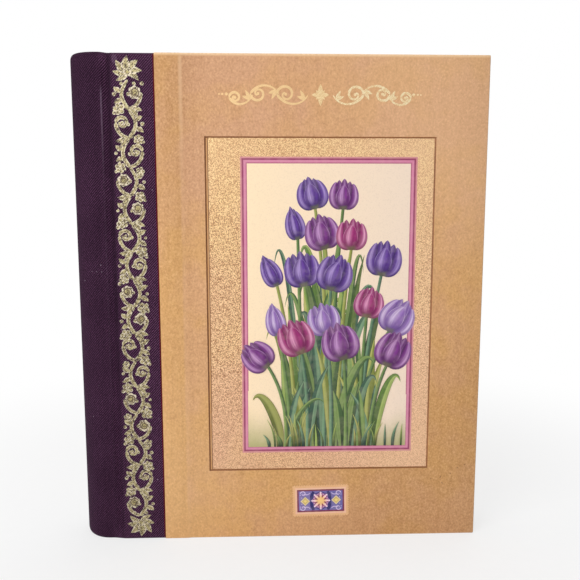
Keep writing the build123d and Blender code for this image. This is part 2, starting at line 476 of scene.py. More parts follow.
@dataclass(frozen=True)
class RuledLeaf:
    """Cream writing paper with printed rules, browned a little towards its edges."""

    book: BookFrame
    fore_x: float
    light: Colour = tint(247, 238, 218)
    dark: Colour = tint(236, 222, 194)
    toned: Colour = tint(222, 200, 160)
    rule: Colour = tint(176, 158, 172)
    strong: Colour = tint(120, 82, 122)
    pitch: float = 8.4
    group: int = 4
    half_line: float = 0.12
    half_strong: float = 0.204

    def make(self) -> Material:
        """Write the material.

        Returns:
            The material.
        """
        pen = NodeWriter("leaf_paper", roughness=0.8, specular=0.25)
        place = pen.place(Layout.FLAT)
        across, up, _ = pen.axes(place)
        foot, head, fore = self.book.leaf_foot / MM, self.book.leaf_head / MM, self.fore_x / MM
        fibre = pen.grain(place, 0.5, 3.0, 0.6)
        cloud = pen.grain(place, 26.0).fade(0.35, 0.65, 0.0, 0.4)
        stock = pen.mix(cloud + fibre.fade(0.35, 0.7, 0.0, 0.5), self.light, self.dark)
        rim = across.fade(fore - 9, fore + 1) | up.fade(head - 6, head) | up.fade(foot + 6, foot)
        aged = pen.mix(rim * 0.8, stock, self.toned)
        inside = across.within(self.book.leaf_x / MM + 14, fore - 12) * up.within(foot + 13, head - 15)
        ruled = pen.mix(self._lines(up, self.pitch, self.half_line) * inside, aged, self.rule)
        bold = self._lines(up, self.pitch * self.group, self.half_strong) * inside
        pen.set("Base Color", pen.mix(bold, ruled, self.strong))
        pen.relief(fibre, 0.012)
        return pen.material

    def _lines(self, up: Pattern, pitch: float, half: float) -> Pattern:
        """Level lines of a half width, counted up from the foot."""
        turns = up * (1 / pitch) + (0.5 - self.book.leaf_foot / MM / pitch)
        return abs(up.pen.maths("FRACT", turns) - 0.5).fade(1.3 * half / pitch, 0.7 * half / pitch)


@dataclass(frozen=True)
class DividerCard:
    """Tan card with a double border and a plum tab; its flat map starts at the leaves' edge."""

    book: BookFrame
    fore_x: float
    light: Colour = tint(234, 208, 164)
    dark: Colour = tint(216, 184, 134)
    border: Colour = tint(128, 84, 122)
    tab: Colour = tint(98, 58, 98)
    margin: float = 9.0

    def make(self) -> Material:
        """Write the material.

        Returns:
            The material.
        """
        pen = NodeWriter("divider_card", roughness=0.62, specular=0.3)
        place = pen.place(Layout.FLAT)
        across, up, _ = pen.axes(place)
        fibre = pen.grain(place, 0.7, 4.0, 0.62)
        cloud = pen.grain(place, 24.0).fade(0.35, 0.65, 0.0, 0.4)
        stock = pen.mix(cloud + fibre.fade(0.35, 0.7, 0.0, 0.6), self.light, self.dark)
        foot, head = self.book.leaf_foot / MM, self.book.leaf_head / MM
        half_x, half_z = (self.fore_x - self.book.leaf_x) / MM / 2, (head - foot) / 2
        past_x = abs(across + (half_x - self.margin / 2)) - (half_x - 1.5 * self.margin)
        past_z = abs(up - (foot + half_z)) - (half_z - self.margin)
        frame = past_x | past_z
        lines = abs(frame).fade(0.42, 0.28) | abs(frame + 1.5).fade(0.2, 0.1)
        inked = across.fade(0.35, 0.6) * pen.grain(place, 0.8, 3.0).fade(0.3, 0.7, 0.86, 1.0)
        pen.set("Base Color", pen.mix(inked, pen.mix(lines, stock, self.border), self.tab))
        pen.relief(fibre, 0.02)
        return pen.material


@dataclass(frozen=True)
class Gauze:
    """Stiff open gauze glued over the back of the leaves."""

    thread: Colour = tint(226, 216, 192)
    glue: Colour = tint(168, 146, 108)
    mesh: float = 0.9

    def make(self) -> Material:
        """Write the material.

        Returns:
            The material.
        """
        pen = NodeWriter("mull_gauze", roughness=0.85, specular=0.2)
        _, deep, up = pen.axes(pen.place(Layout.BODY))
        weave = deep.wave(self.mesh) | up.wave(self.mesh)
        pen.set("Base Color", pen.mix(weave.fade(0.6, 0.9), self.glue, self.thread))
        pen.relief(weave, 0.1)
        return pen.material


@dataclass(frozen=True)
class PrintedInk:
    """Printing ink in the colours of the shapes, on a lightly grained paper."""

    name: str = "printed_ink"
    bare: Colour = tint(255, 236, 208)
    dot: Colour = tint(110, 80, 66)

    def make(self) -> Material:
        """Write the material.

        Returns:
            The material.
        """
        pen = NodeWriter(self.name, roughness=0.42, specular=0.4)
        place = pen.place(Layout.BODY)
        wash = pen.grain(place, 2.6, 3.0).fade(0.4, 0.7, 0.0, 0.06)
        dots = pen.grain(place, 0.5).fade(0.5, 0.7, 0.0, 0.07)
        pen.set("Base Color", pen.mix(dots, pen.mix(wash, pen.ink(), self.bare), self.dot))
        pen.relief(pen.grain(place, 0.5, 3.0), 0.008)
        return pen.material


@dataclass(frozen=True)
class GoldFoil:
    """Stamped gold foil; on cloth the weave breaks it up."""

    name: str
    dull: Colour
    under: Colour
    broken: float
    metallic: float = 0.5
    lump: float = 0.5
    rib: float = 1.0

    def make(self) -> Material:
        """Write the material.

        Returns:
            The material.
        """
        pen = NodeWriter(self.name, roughness=0.36, metallic=self.metallic)
        place = pen.place(Layout.BODY)
        across, _, up = pen.axes(place)
        fleck = pen.grain(place, self.lump, 3.0, 0.65)
        tone = (across - up).wave(self.rib) * 0.1 + fleck
        foil = pen.mix(tone.fade(0.42, 0.66), self.dull, pen.ink())
        holes = tone.fade(self.broken, self.broken - 0.09)
        pen.set("Base Color", pen.mix(holes, foil, self.under))
        pen.set("Metallic", holes * -self.metallic + self.metallic)
        pen.set("Roughness", holes * 0.4 + fleck.fade(0.3, 0.7, 0.28, 0.46))
        pen.relief(tone, 0.05)
        return pen.material


class Piece:
    """One dressed piece while its mesh is being made."""

    def __init__(self, name: str) -> None:
        """Start an empty mesh for a piece of that name."""
        self.name = name
        self.mesh = bmesh.new()

    def face(self, points: Iterable[Sequence[float]]) -> BMFace:
        """Close a ring of points with one face."""
        return self.mesh.faces.new([self.mesh.verts.new(point) for point in points])

    def box(self, low: Sequence[float], high: Sequence[float]) -> None:
        """Add a box between two corners."""
        middle, size = (Vector(low) + Vector(high)) / 2, Vector(high) - Vector(low)
        bmesh.ops.create_cube(self.mesh, size=1.0, matrix=Matrix.LocRotScale(middle, None, size))

    def cut(self, normal: Sequence[float], places: Iterable[float]) -> None:
        """Cut edges all round the mesh where planes cross it.

        Args:
            normal: Direction of the planes.
            places: Distances of the planes from the origin.
        """
        for place in places:
            parts = [*self.mesh.verts, *self.mesh.edges, *self.mesh.faces]
            middle = Vector(normal) * place
            bmesh.ops.bisect_plane(self.mesh, geom=parts, plane_co=middle, plane_no=normal, dist=1e-7)
        self.mesh.normal_update()

    def draw_out(self, face: BMFace, shift: Sequence[float]) -> None:
        """Draw a face out along a shift."""
        drawn = bmesh.ops.extrude_face_region(self.mesh, geom=[face])["geom"]
        bmesh.ops.translate(self.mesh, verts=[part for part in drawn if isinstance(part, BMVert)], vec=shift)

    def round_edges(self, edges: Iterable[BMEdge], radius: float) -> None:
        """Round edges by a radius."""
        mesh, geom = self.mesh, list(edges)
        bmesh.ops.bevel(mesh, geom=geom, offset=radius, affect="EDGES", segments=3, profile=0.5, material=-1)

    def face_out(self) -> None:
        """Turn every face outwards."""
        bmesh.ops.recalc_face_normals(self.mesh, faces=self.mesh.faces[:])

    def lay_flat(self, rule: Callable[[Vector], Pair] = lambda place: (place.x, place.z)) -> None:
        """Give the mesh a flat map.

        Args:
            rule: Flat place, in metres, of each point.
        """
        layer = self.mesh.loops.layers.uv.new(FLAT_MAP)
        for face in self.mesh.faces:
            for loop in face.loops:
                loop[layer].uv = rule(loop.vert.co)

    def finish(self, *finishes: Material, smooth: float = 35.0) -> Object:
        """Make the object.

        Args:
            finishes: Materials in the order of the face indices.
            smooth: Edges sharper than this many degrees stay sharp.

        Returns:
            The object, at the origin.
        """
        data = bpy.data.meshes.new(self.name)
        self.mesh.edges.index_update()
        rims = [edge.index for edge in self.mesh.edges if edge.is_boundary]
        self.mesh.to_mesh(data)
        self.mesh.free()
        for finish in finishes:
            data.materials.append(finish)
        data.shade_smooth()
        data.set_sharp_from_angle(angle=radians(smooth))
        for index in rims:
            data.edges[index].use_edge_sharp = True
        piece = bpy.data.objects.new(self.name, data)
        bpy.context.scene.collection.objects.link(piece)
        LOG.info("%s: %d faces", self.name, len(data.polygons))
        return piece


def inside(place: Vector, low: Sequence[float], high: Sequence[float]) -> bool:
    """Tell whether a point lies between the two corners of a box."""
    return all(first < value < last for first, value, last in zip(low, place, high))


def arc(centre: Pair, reach: Pair, start: float, end: float, steps: int) -> list[Pair]:
    """Points in steps along an upright ellipse of two half sizes, from one angle in degrees to another."""
    angles = [radians(start + (end - start) * step / steps) for step in range(steps + 1)]
    return [(centre[0] + reach[0] * cos(a), centre[1] + reach[1] * sin(a)) for a in angles]


def swell(value: float, low: float, high: float) -> float:
    """Smooth step from 0 at low to 1 at high."""
    share = min(1.0, max(0.0, (value - low) / (high - low)))
    return share * share * (3 - 2 * share)


Path = Callable[[float], complex]
Width = Callable[[float], float]
Ink = Callable[[float, float], Colour]


def bezier(*points: complex) -> Path:
    """Smooth path steered by some points.

    Args:
        points: First point, steering points and last point.

    Returns:
        The path, from 0 at the first point to 1 at the last.
    """
    last = len(points) - 1
    terms = [(index, comb(last, index) * point) for index, point in enumerate(points)]
    return lambda share: sum(share**index * (1 - share) ** (last - index) * term for index, term in terms)


@dataclass
class ClothCase:
    """Cloth over the spine, in both joints and on both boards, and the card inside the spine."""

    book: BookFrame
    finish: Material
    card: Material
    inset: float = 0.2 * MM
    edge_round: float = 0.5 * MM
    inlay: float = 1.0 * MM
    spine_turn_in: float = 12.0 * MM
    board_turn_in: float = 15.0 * MM
    cap: Pair = (1.35 * MM, 2.4 * MM)
    spine_rise: float = 0.4 * MM
    spine_steps: int = 40
    groove_end: float = 7.0 * MM
    groove_fill: float = 0.75
    groove_steps: int = 10

    @property
    def thickness(self) -> float:
        """Thickness of the cloth."""
        return self.book.cloth_h - self.book.board_h

    def _flat_rule(self, place: Vector) -> Pair:
        """Lay a point of the cloth flat.

        Args:
            place: The point.

        Returns:
            Its length along the case, equal to x in front, and its height with the way over a board's end.
        """
        book, edge, along = self.book, 2 * self.edge_round, place.x
        if place.x < book.spine_x:
            along = book.spine_x - book.spine_radius * atan2(book.spine_x - place.x, -place.y)
        elif place.y >= 0:
            along = 2 * book.spine_x - pi * book.spine_radius - place.x
        past_end = not book.foot + edge <= place.z <= book.head - edge
        over = book.cloth_h - abs(place.y) if past_end and place.x > book.spine_x else 0.0
        return along, place.z + copysign(over, place.z - book.middle_z)

    def build(self) -> None:
        """Build and dress the cloth pieces and the card."""
        self._spine()
        for side in Side:
            self._joint(side)
            self._board(side)

    def _spun(self, name: str, outline: Sequence[Pair]) -> Piece:
        """Sweep an outline round the spine and on to the joints.

        Args:
            name: Name of the piece.
            outline: Radius and height of each corner.

        Returns:
            The piece.
        """
        book = self.book
        piece = Piece(name)
        start = piece.face((book.spine_x, -radius, height) for radius, height in outline)
        parts, centre, steps = [start, *start.edges, *start.verts], (book.spine_x, 0, 0), self.spine_steps
        spun = bmesh.ops.spin(piece.mesh, geom=parts, cent=centre, axis=(0, 0, 1), angle=-pi, steps=steps)
        for end in (start, *(part for part in spun["geom_last"] if isinstance(part, BMFace))):
            piece.draw_out(end, (book.spine_end_x - book.spine_x, 0, 0))
        piece.face_out()
        return piece

    def _spine(self) -> None:
        """Cloth over the spine with rounded caps, and its card."""
        low, high = self.book.foot, self.book.head + self.spine_rise
        outer = self.book.spine_radius
        inlay_out = outer - self.thickness
        inlay_in = inlay_out - self.inlay
        lining = inlay_in - self.thickness
        cap_r, cap_z = self.cap
        hollow = (cap_r - self.thickness, cap_z - self.thickness)
        skin = [(lining, low + self.spine_turn_in), (lining, low)]
        skin += arc((outer - cap_r, low + cap_z), self.cap, -90, 0, 8)
        skin += arc((outer - cap_r, high - cap_z), self.cap, 0, 90, 8)
        skin += [(lining, high), (lining, high - self.spine_turn_in), (inlay_in, high - self.spine_turn_in)]
        card = [(inlay_in, high - self.thickness)]
        card += arc((inlay_out - hollow[0], high - cap_z), hollow, 90, 0, 6)
        card += arc((inlay_out - hollow[0], low + cap_z), hollow, 0, -90, 6)
        card += [(inlay_in, low + self.thickness)]
        cloth = self._spun("spine_cloth_skin", [*skin, *card, (inlay_in, low + self.spine_turn_in)])
        cloth.lay_flat(self._flat_rule)
        dressed = cloth.finish(self.finish)
        core = self._spun("spine_card", card)
        for face in core.mesh.faces:
            face.material_index = 1 if face.normal.x > 0.9 else 0
        core.lay_flat(self._flat_rule)
        stiffener = core.finish(self.card, self.finish)
        for piece, node, slot in (
            (dressed, "spine_cloth", "book_cloth"),
            (stiffener, "spine_inlay", "inlay_card"),
        ):
            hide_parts(node)
            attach(piece, "binding")

    def _groove(self) -> list[Pair]:
        """Outline of the groove, from the spine down into it and up to the board.

        Returns:
            The places across it and their heights.
        """
        book = self.book
        x, top, deep = book.joint_x, book.spine_radius, book.joint_h - book.joint_reach
        bottom = complex(x + 1.1 * MM, deep)
        shoulder, board = complex(book.spine_end_x, top), complex(book.board_spine_x, book.cloth_h)
        slope = bezier(shoulder, complex(x - 1.5 * MM, top), complex(x - 0.6 * MM, deep), bottom)
        rise = bezier(bottom, complex(x + 2.0 * MM, deep), complex(x + 1.7 * MM, book.cloth_h), board)
        shares = [step / self.groove_steps for step in range(self.groove_steps)]
        run = [slope(share) for share in shares] + [rise(share) for share in (*shares, 1.0)]
        return [(spot.real, spot.imag) for spot in run]

    def _joint(self, side: Side) -> None:
        """Cloth pressed into one joint.

        Args:
            side: Cover that it joins to the spine.
        """
        book = self.book
        outside = self._groove()
        underside = [(across, height - self.thickness) for across, height in reversed(outside)]
        piece = Piece(f"{side.word}_joint_skin")
        low, high = book.foot + self.inset, book.head - self.inset
        ring = [(across, side.value * height, low) for across, height in (*outside, *underside)]
        piece.draw_out(piece.face(ring), (0, 0, high - low))
        piece.face_out()
        for step in range(1, 9):
            away = self.groove_end * (step / 8) ** 2
            piece.cut((0, 0, 1), (low + away, high - away))
        self._ease_ends(piece, side, outside)
        piece.lay_flat(self._flat_rule)
        dressed = piece.finish(self.finish)
        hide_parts(f"{side.word}_joint_cloth")
        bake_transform(dressed)

    def _ease_ends(self, piece: Piece, side: Side, outside: Sequence[Pair]) -> None:
        """Make a joint shallower towards head and foot, and lead its head up to the spine's cap.

        Args:
            piece: The joint.
            side: Cover that it joins to the spine.
            outside: Outline of the groove.
        """
        book = self.book
        for vert in piece.mesh.verts:
            across = (vert.co.x - book.spine_end_x) / (book.board_spine_x - book.spine_end_x)
            level = book.spine_radius + (book.cloth_h - book.spine_radius) * across
            outer = min(outside, key=lambda spot: abs(spot[0] - vert.co.x))[1]
            from_end = min(vert.co.z - book.foot, book.head - vert.co.z) - self.inset
            near = 1 - swell(from_end, 0.0, self.groove_end)
            spine_share = 1 - swell(across, 0.0, 0.9)
            rounded = self._curl(from_end, *self.cap) * spine_share
            rounded += self._curl(from_end, self.edge_round, self.edge_round) * (1 - spine_share)
            upper = vert.co.z > book.middle_z
            fill = self.groove_fill if upper else 1.0
            vert.co.y += side.value * (max(0.0, level - outer) * near * fill - rounded)
            vert.co.z += (self.spine_rise + self.inset if upper else -self.inset) * near * spine_share

    @staticmethod
    def _curl(from_end: float, depth: float, height: float) -> float:
        """How far a rounded end lies behind the face, by the distance from that end."""
        share = min(1.0, max(0.0, 1 - from_end / height))
        return depth * (1 - sqrt(1 - share**2))

    def _board(self, side: Side) -> None:
        """Cloth on one board, turned in over its head and tail, under the paper's lap.

        Args:
            side: Cover of the board.
        """
        book, x = self.book, self.book.board_spine_x
        top, back, turned = book.board_h, book.board_back_h, book.turn_h
        low, high = book.foot + self.inset, book.head - self.inset
        inner_low, inner_high = book.foot + book.wrap, book.head - book.wrap
        turn_low, turn_high = book.foot + self.board_turn_in, book.head - self.board_turn_in
        outline = [(turned, turn_low), (turned, low), (book.cloth_h, low)]
        outline += [(book.cloth_h, high), (turned, high), (turned, turn_high)]
        outline += [(back, turn_high), (back, inner_high), (top, inner_high)]
        outline += [(top, inner_low), (back, inner_low), (back, turn_low)]
        piece = Piece(f"{side.word}_cloth_skin")
        piece.draw_out(piece.face((x, side.value * h, z) for h, z in outline), (book.cloth_edge_x - x, 0, 0))
        for first, last in ((inner_low, turn_low), (turn_high, inner_high)):
            corners = ((back, first), (top, first), (top, last), (back, last))
            piece.draw_out(piece.face((x, side.value * h, z) for h, z in corners), (-self.inset, 0, 0))
        piece.face_out()
        piece.round_edges([edge for edge in piece.mesh.edges if self._is_bend(edge)], self.edge_round)
        piece.lay_flat(self._flat_rule)
        dressed = piece.finish(self.finish)
        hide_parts(f"{side.word}_cloth")
        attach(dressed, f"{side.word}_cover")

    def _is_bend(self, edge: BMEdge) -> bool:
        """Tell whether an edge runs lengthwise at the head or the foot."""
        (first, last), reach = (vert.co for vert in edge.verts), 1.5 * self.inset
        return abs(first.x - last.x) > MM and not self.book.foot + reach <= first.z <= self.book.head - reach


@dataclass(frozen=True)
class PressedPanel:
    """Sizes of the shallow panel pressed into the front cover, from its outer line to its floor."""

    left: float = -30.2 * MM
    right: float = 63.8 * MM
    foot: float = 30.3 * MM
    head: float = 170.7 * MM
    depth: float = 0.45 * MM
    wall: float = 0.6 * MM


@dataclass
class PaperCovering:
    """Printed paper on both boards, and the pastedowns inside them."""

    book: BookFrame
    panel: PressedPanel
    paper: Material
    line: Material
    stipple: Material
    endpaper: Material
    thickness: float = 0.2 * MM
    edge_round: float = 0.55 * MM
    turn_in: float = 15.0 * MM
    lap_slope: float = 1.2 * MM
    sink: float = 0.12 * MM
    sink_slope: float = 1.5 * MM
    glue: float = 0.08 * MM

    def build(self) -> None:
        """Build and dress the papers and pastedowns of both covers."""
        for side in Side:
            self._paper(side)
            self._pastedown(side)

    def _paper(self, side: Side) -> None:
        """Paper over one board: a wrapped sheet with its lap on the cloth and, in front, the panel.

        Args:
            side: Cover of the board.
        """
        book, panel = self.book, self.panel
        piece = Piece(f"{side.word}_paper_skin")
        near, far = sorted((side.value * book.paper_turn_h, side.value * book.paper_h))
        piece.box((book.paper_edge_x, near, book.foot), (book.fore_x, far, book.head))
        piece.mesh.normal_update()
        open_side = [face for face in piece.mesh.faces if face.normal.x < -0.9]
        bmesh.ops.delete(piece.mesh, geom=open_side, context="FACES_ONLY")
        piece.round_edges([edge for edge in piece.mesh.edges if not edge.is_boundary], self.edge_round)
        cuts_x = [book.cloth_edge_x, book.cloth_edge_x + self.lap_slope, book.fore_x - self.turn_in]
        cuts_z = [book.foot + self.turn_in, book.head - self.turn_in]
        if side is Side.FRONT:
            cuts_x += [panel.left, panel.right]
            cuts_z += [panel.foot, panel.head]
        piece.cut((1, 0, 0), cuts_x)
        piece.cut((0, 0, 1), cuts_z)
        self._form(piece, side)
        dressed = piece.finish(self.paper, self.line, self.stipple)
        wall = dressed.modifiers.new("thickness", "SOLIDIFY")
        wall.thickness = self.thickness
        wall.offset = -1.0
        wall.use_even_offset = True
        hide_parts(f"{side.word}_paper")
        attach(dressed, f"{side.word}_cover")

    def _form(self, piece: Piece, side: Side) -> None:
        """Lift the strip that lies on the cloth, open the inside and, in front, press the panel in.

        Args:
            piece: The paper.
            side: Cover of the board.
        """
        book, panel, inner = self.book, self.panel, self.book.paper_turn_h + TOUCH
        lap_x, half_way = book.cloth_edge_x + TOUCH, (book.paper_h + book.paper_turn_h) / 2
        strip = [vert for vert in piece.mesh.verts if vert.co.x < lap_x and abs(vert.co.y) > half_way]
        bmesh.ops.translate(piece.mesh, verts=strip, vec=(0, side.value * (book.half - book.paper_h), 0))
        low = (book.crown_x, -inner, book.foot + self.turn_in)
        high = (book.fore_x - self.turn_in, inner, book.head - self.turn_in)
        gone = [face for face in piece.mesh.faces if inside(face.calc_center_median(), low, high)]
        bmesh.ops.delete(piece.mesh, geom=gone, context="FACES")
        if side is Side.BACK:
            return
        low, high = (panel.left, -1.0, panel.foot), (panel.right, 1.0, panel.head)
        front = [face for face in piece.mesh.faces if face.normal.y < -0.9]
        floor = [face for face in front if inside(face.calc_center_median(), low, high)]
        wall = bmesh.ops.inset_region(
            piece.mesh, faces=floor, thickness=panel.wall, depth=-panel.depth, use_even_offset=True
        )["faces"]
        for index, faces in ((1, wall), (2, floor)):
            for face in faces:
                face.material_index = index

    def _pastedown(self, side: Side) -> None:
        """Endpaper glued inside one board, sunk a little between the turn-ins.

        Args:
            side: Cover of the board.
        """
        low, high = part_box(f"{side.word}_pastedown")
        book, slope = self.book, self.sink_slope
        piece = Piece(f"{side.word}_pastedown_skin")
        inner = low.y if side is Side.BACK else high.y
        near, far = sorted((inner, side.value * (book.turn_h + self.glue)))
        piece.box((low.x, near, low.z), (high.x, far, high.z))
        step_x = book.fore_x - self.turn_in
        foot_z, head_z = book.foot + self.turn_in, book.head - self.turn_in
        piece.cut((1, 0, 0), (step_x - slope, step_x))
        piece.cut((0, 0, 1), (foot_z, foot_z + slope, head_z - slope, head_z))
        first = (-1.0, -1.0, foot_z + slope - TOUCH)
        last = (step_x - slope + TOUCH, 1.0, head_z - slope + TOUCH)
        sunk = [vert for vert in piece.mesh.verts if inside(vert.co, first, last)]
        bmesh.ops.translate(piece.mesh, verts=sunk, vec=(0, side.value * self.sink, 0))
        piece.lay_flat()
        dressed = piece.finish(self.endpaper)
        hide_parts(f"{side.word}_pastedown")
        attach(dressed, f"{side.word}_cover")


def coil(centre: complex, radius: float, eye: float, start: float, turns: float) -> Path:
    """Spiral that winds from a radius in to its eye.

    Args:
        centre: Centre of the spiral.
        radius: Radius at the start.
        eye: Radius at the end.
        start: Angle at the start, in degrees.
        turns: Number of turns, negative for clockwise.

    Returns:
        The path, from 0 at the outside to 1 at the eye.
    """
    return lambda share: centre + cmath.rect(
        eye + (radius - eye) * (1 - share) ** 0.85, radians(start + 360 * turns * share)
    )


def blade(root: complex, heading: float, length: float, bow: float = 0.0) -> Path:
    """Path of a leaf that grows from a root in a heading, in degrees, and bows by a share of its length."""
    way = cmath.rect(length, radians(heading))
    return bezier(root, root + (0.5 + 1j * bow) * way, root + way)


def leaf_width(widest: float, fullness: float, root: float, point: float = 0.9) -> Width:
    """Half width along a leaf or petal: narrow root, full middle and pointed tip."""
    return lambda share: widest * max(sin(pi * share**fullness) ** point, root * (1 - share))


def taper(first: float, last: float) -> Width:
    """Half width that changes evenly along a stroke, rounded off at both ends."""
    return lambda share: (first + (last - first) * share) * min(1.0, 14 * min(share, 1 - share) + 0.25)


def even(half: float) -> Width:
    """Half width that stays the same."""
    return lambda share: half


def solid(colour: Colour) -> Ink:
    """Ink of one colour."""
    return lambda side, share: colour


class InkSheet:
    """Flat printed or stamped shapes on the front cover, drawn in millimetres."""

    nudge = 0.002

    def __init__(self, name: str, face: float, step: float, lift: float = 0.025, film: float = 0.02) -> None:
        """Start a sheet.

        Args:
            name: Name of the piece.
            face: Height in metres of the face that carries the print.
            step: How far each shape stands off the one before.
            lift: How far the first shape stands off the face.
            film: Thickness of the shapes.
        """
        self.piece = Piece(name)
        self.ink = self.piece.mesh.loops.layers.float_color.new(INK_LAYER)
        self.level = face / MM + lift
        self.step, self.film = step, film

    def _place(self, spot: complex) -> tuple[float, float, float]:
        """Place in metres of a spot at the present level."""
        return spot.real * MM, -self.level * MM, spot.imag * MM

    def patch(self, across: int, along: int, shape: Callable[[float, float], complex], ink: Ink) -> None:
        """Lay down one shape.

        Args:
            across: Number of faces across.
            along: Number of faces along.
            shape: Spot for a share across (-1 to 1) and along (0 to 1).
            ink: Colour for the same two shares.
        """
        mesh = self.piece.mesh
        verts = bmesh.ops.create_grid(mesh, x_segments=across, y_segments=along, size=1.0)["verts"]
        shares = {vert: (vert.co.x, (vert.co.y + 1) / 2) for vert in verts}
        faces = {face for vert in verts for face in vert.link_faces}
        for vert, share in shares.items():
            vert.co = self._place(shape(*share))
        for face in faces:
            for loop in face.loops:
                loop[self.ink] = (*ink(*shares[loop.vert]), 1.0)
        self.level += self.step

    def ribbon(self, path: Path, half: Width, ink: Ink, along: int = 18, across: int = 2) -> None:
        """Lay down a stroke, leaf or petal.

        Args:
            path: Its middle line.
            half: Its half width by the share along it.
            ink: Its colour.
            along: Number of faces along.
            across: Number of faces across.
        """

        def shape(side: float, share: float) -> complex:
            """Spot beside the middle line."""
            run = path(min(1.0, share + self.nudge)) - path(max(0.0, share - self.nudge))
            return path(share) - 1j * side * half(share) * run / (abs(run) or 1.0)

        self.patch(across, along, shape, ink)

    def blot(
        self, centre: complex, reach: float, ink: Ink, lobes: int = 0, depth: float = 0.0, turn: float = 0.0
    ) -> None:
        """Lay down a round shape; along goes from its middle to its rim.

        Args:
            centre: Its middle.
            reach: Its radius.
            ink: Its colour.
            lobes: Number of lobes.
            depth: Depth between the lobes, as a share of the radius.
            turn: Angle of the first lobe, in radians.
        """

        def shape(side: float, share: float) -> complex:
            """Spot on a ray from the middle."""
            edge = 1 - depth * (0.5 - 0.5 * cos(lobes * pi * side))
            return centre + cmath.rect(reach * share * edge, turn - pi * side)

        self.patch(max(10, 8 * lobes), 3, shape, ink)

    def framed(self, low: complex, high: complex, rings: Sequence[tuple[float, Colour]], ink: Ink) -> None:
        """Lay down a rectangle with rings of colour round a ground.

        Args:
            low: Lower left corner.
            high: Upper right corner.
            rings: Width and colour of each ring, from the outside.
            ink: Colour of the ground by its shares across and along.
        """
        mesh, size = self.piece.mesh, high - low
        corners = (low, low + size.real, high, high - size.real)
        ground = self.piece.face(self._place(corner) for corner in corners)
        mesh.normal_update()
        for width, colour in rings:
            ring = bmesh.ops.inset_region(
                mesh, faces=[ground], thickness=width * MM, use_even_offset=True, use_boundary=True
            )["faces"]
            for face in ring:
                for loop in face.loops:
                    loop[self.ink] = (*colour, 1.0)
        for loop in ground.loops:
            across = (loop.vert.co.x / MM - low.real) / size.real
            up = (loop.vert.co.z / MM - low.imag) / size.imag
            loop[self.ink] = (*ink(2 * across - 1, up), 1.0)
        self.level += self.step

    def finish(self, finish: Material, slot: str) -> None:
        """Make the piece, a thin film that rides on the front cover.

        Args:
            finish: Its material.
            slot: Not used.
        """
        mesh = self.piece.mesh
        bmesh.ops.remove_doubles(mesh, verts=mesh.verts[:], dist=1e-9)
        mesh.normal_update()
        turned = [face for face in mesh.faces if face.normal.y > 0]
        bmesh.ops.reverse_faces(mesh, faces=turned)
        piece = self.piece.finish(finish)
        piece.data.shade_flat()
        wall = piece.modifiers.new("film", "SOLIDIFY")
        wall.thickness = self.film * MM
        wall.offset = -1.0
        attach(piece, "front_cover")


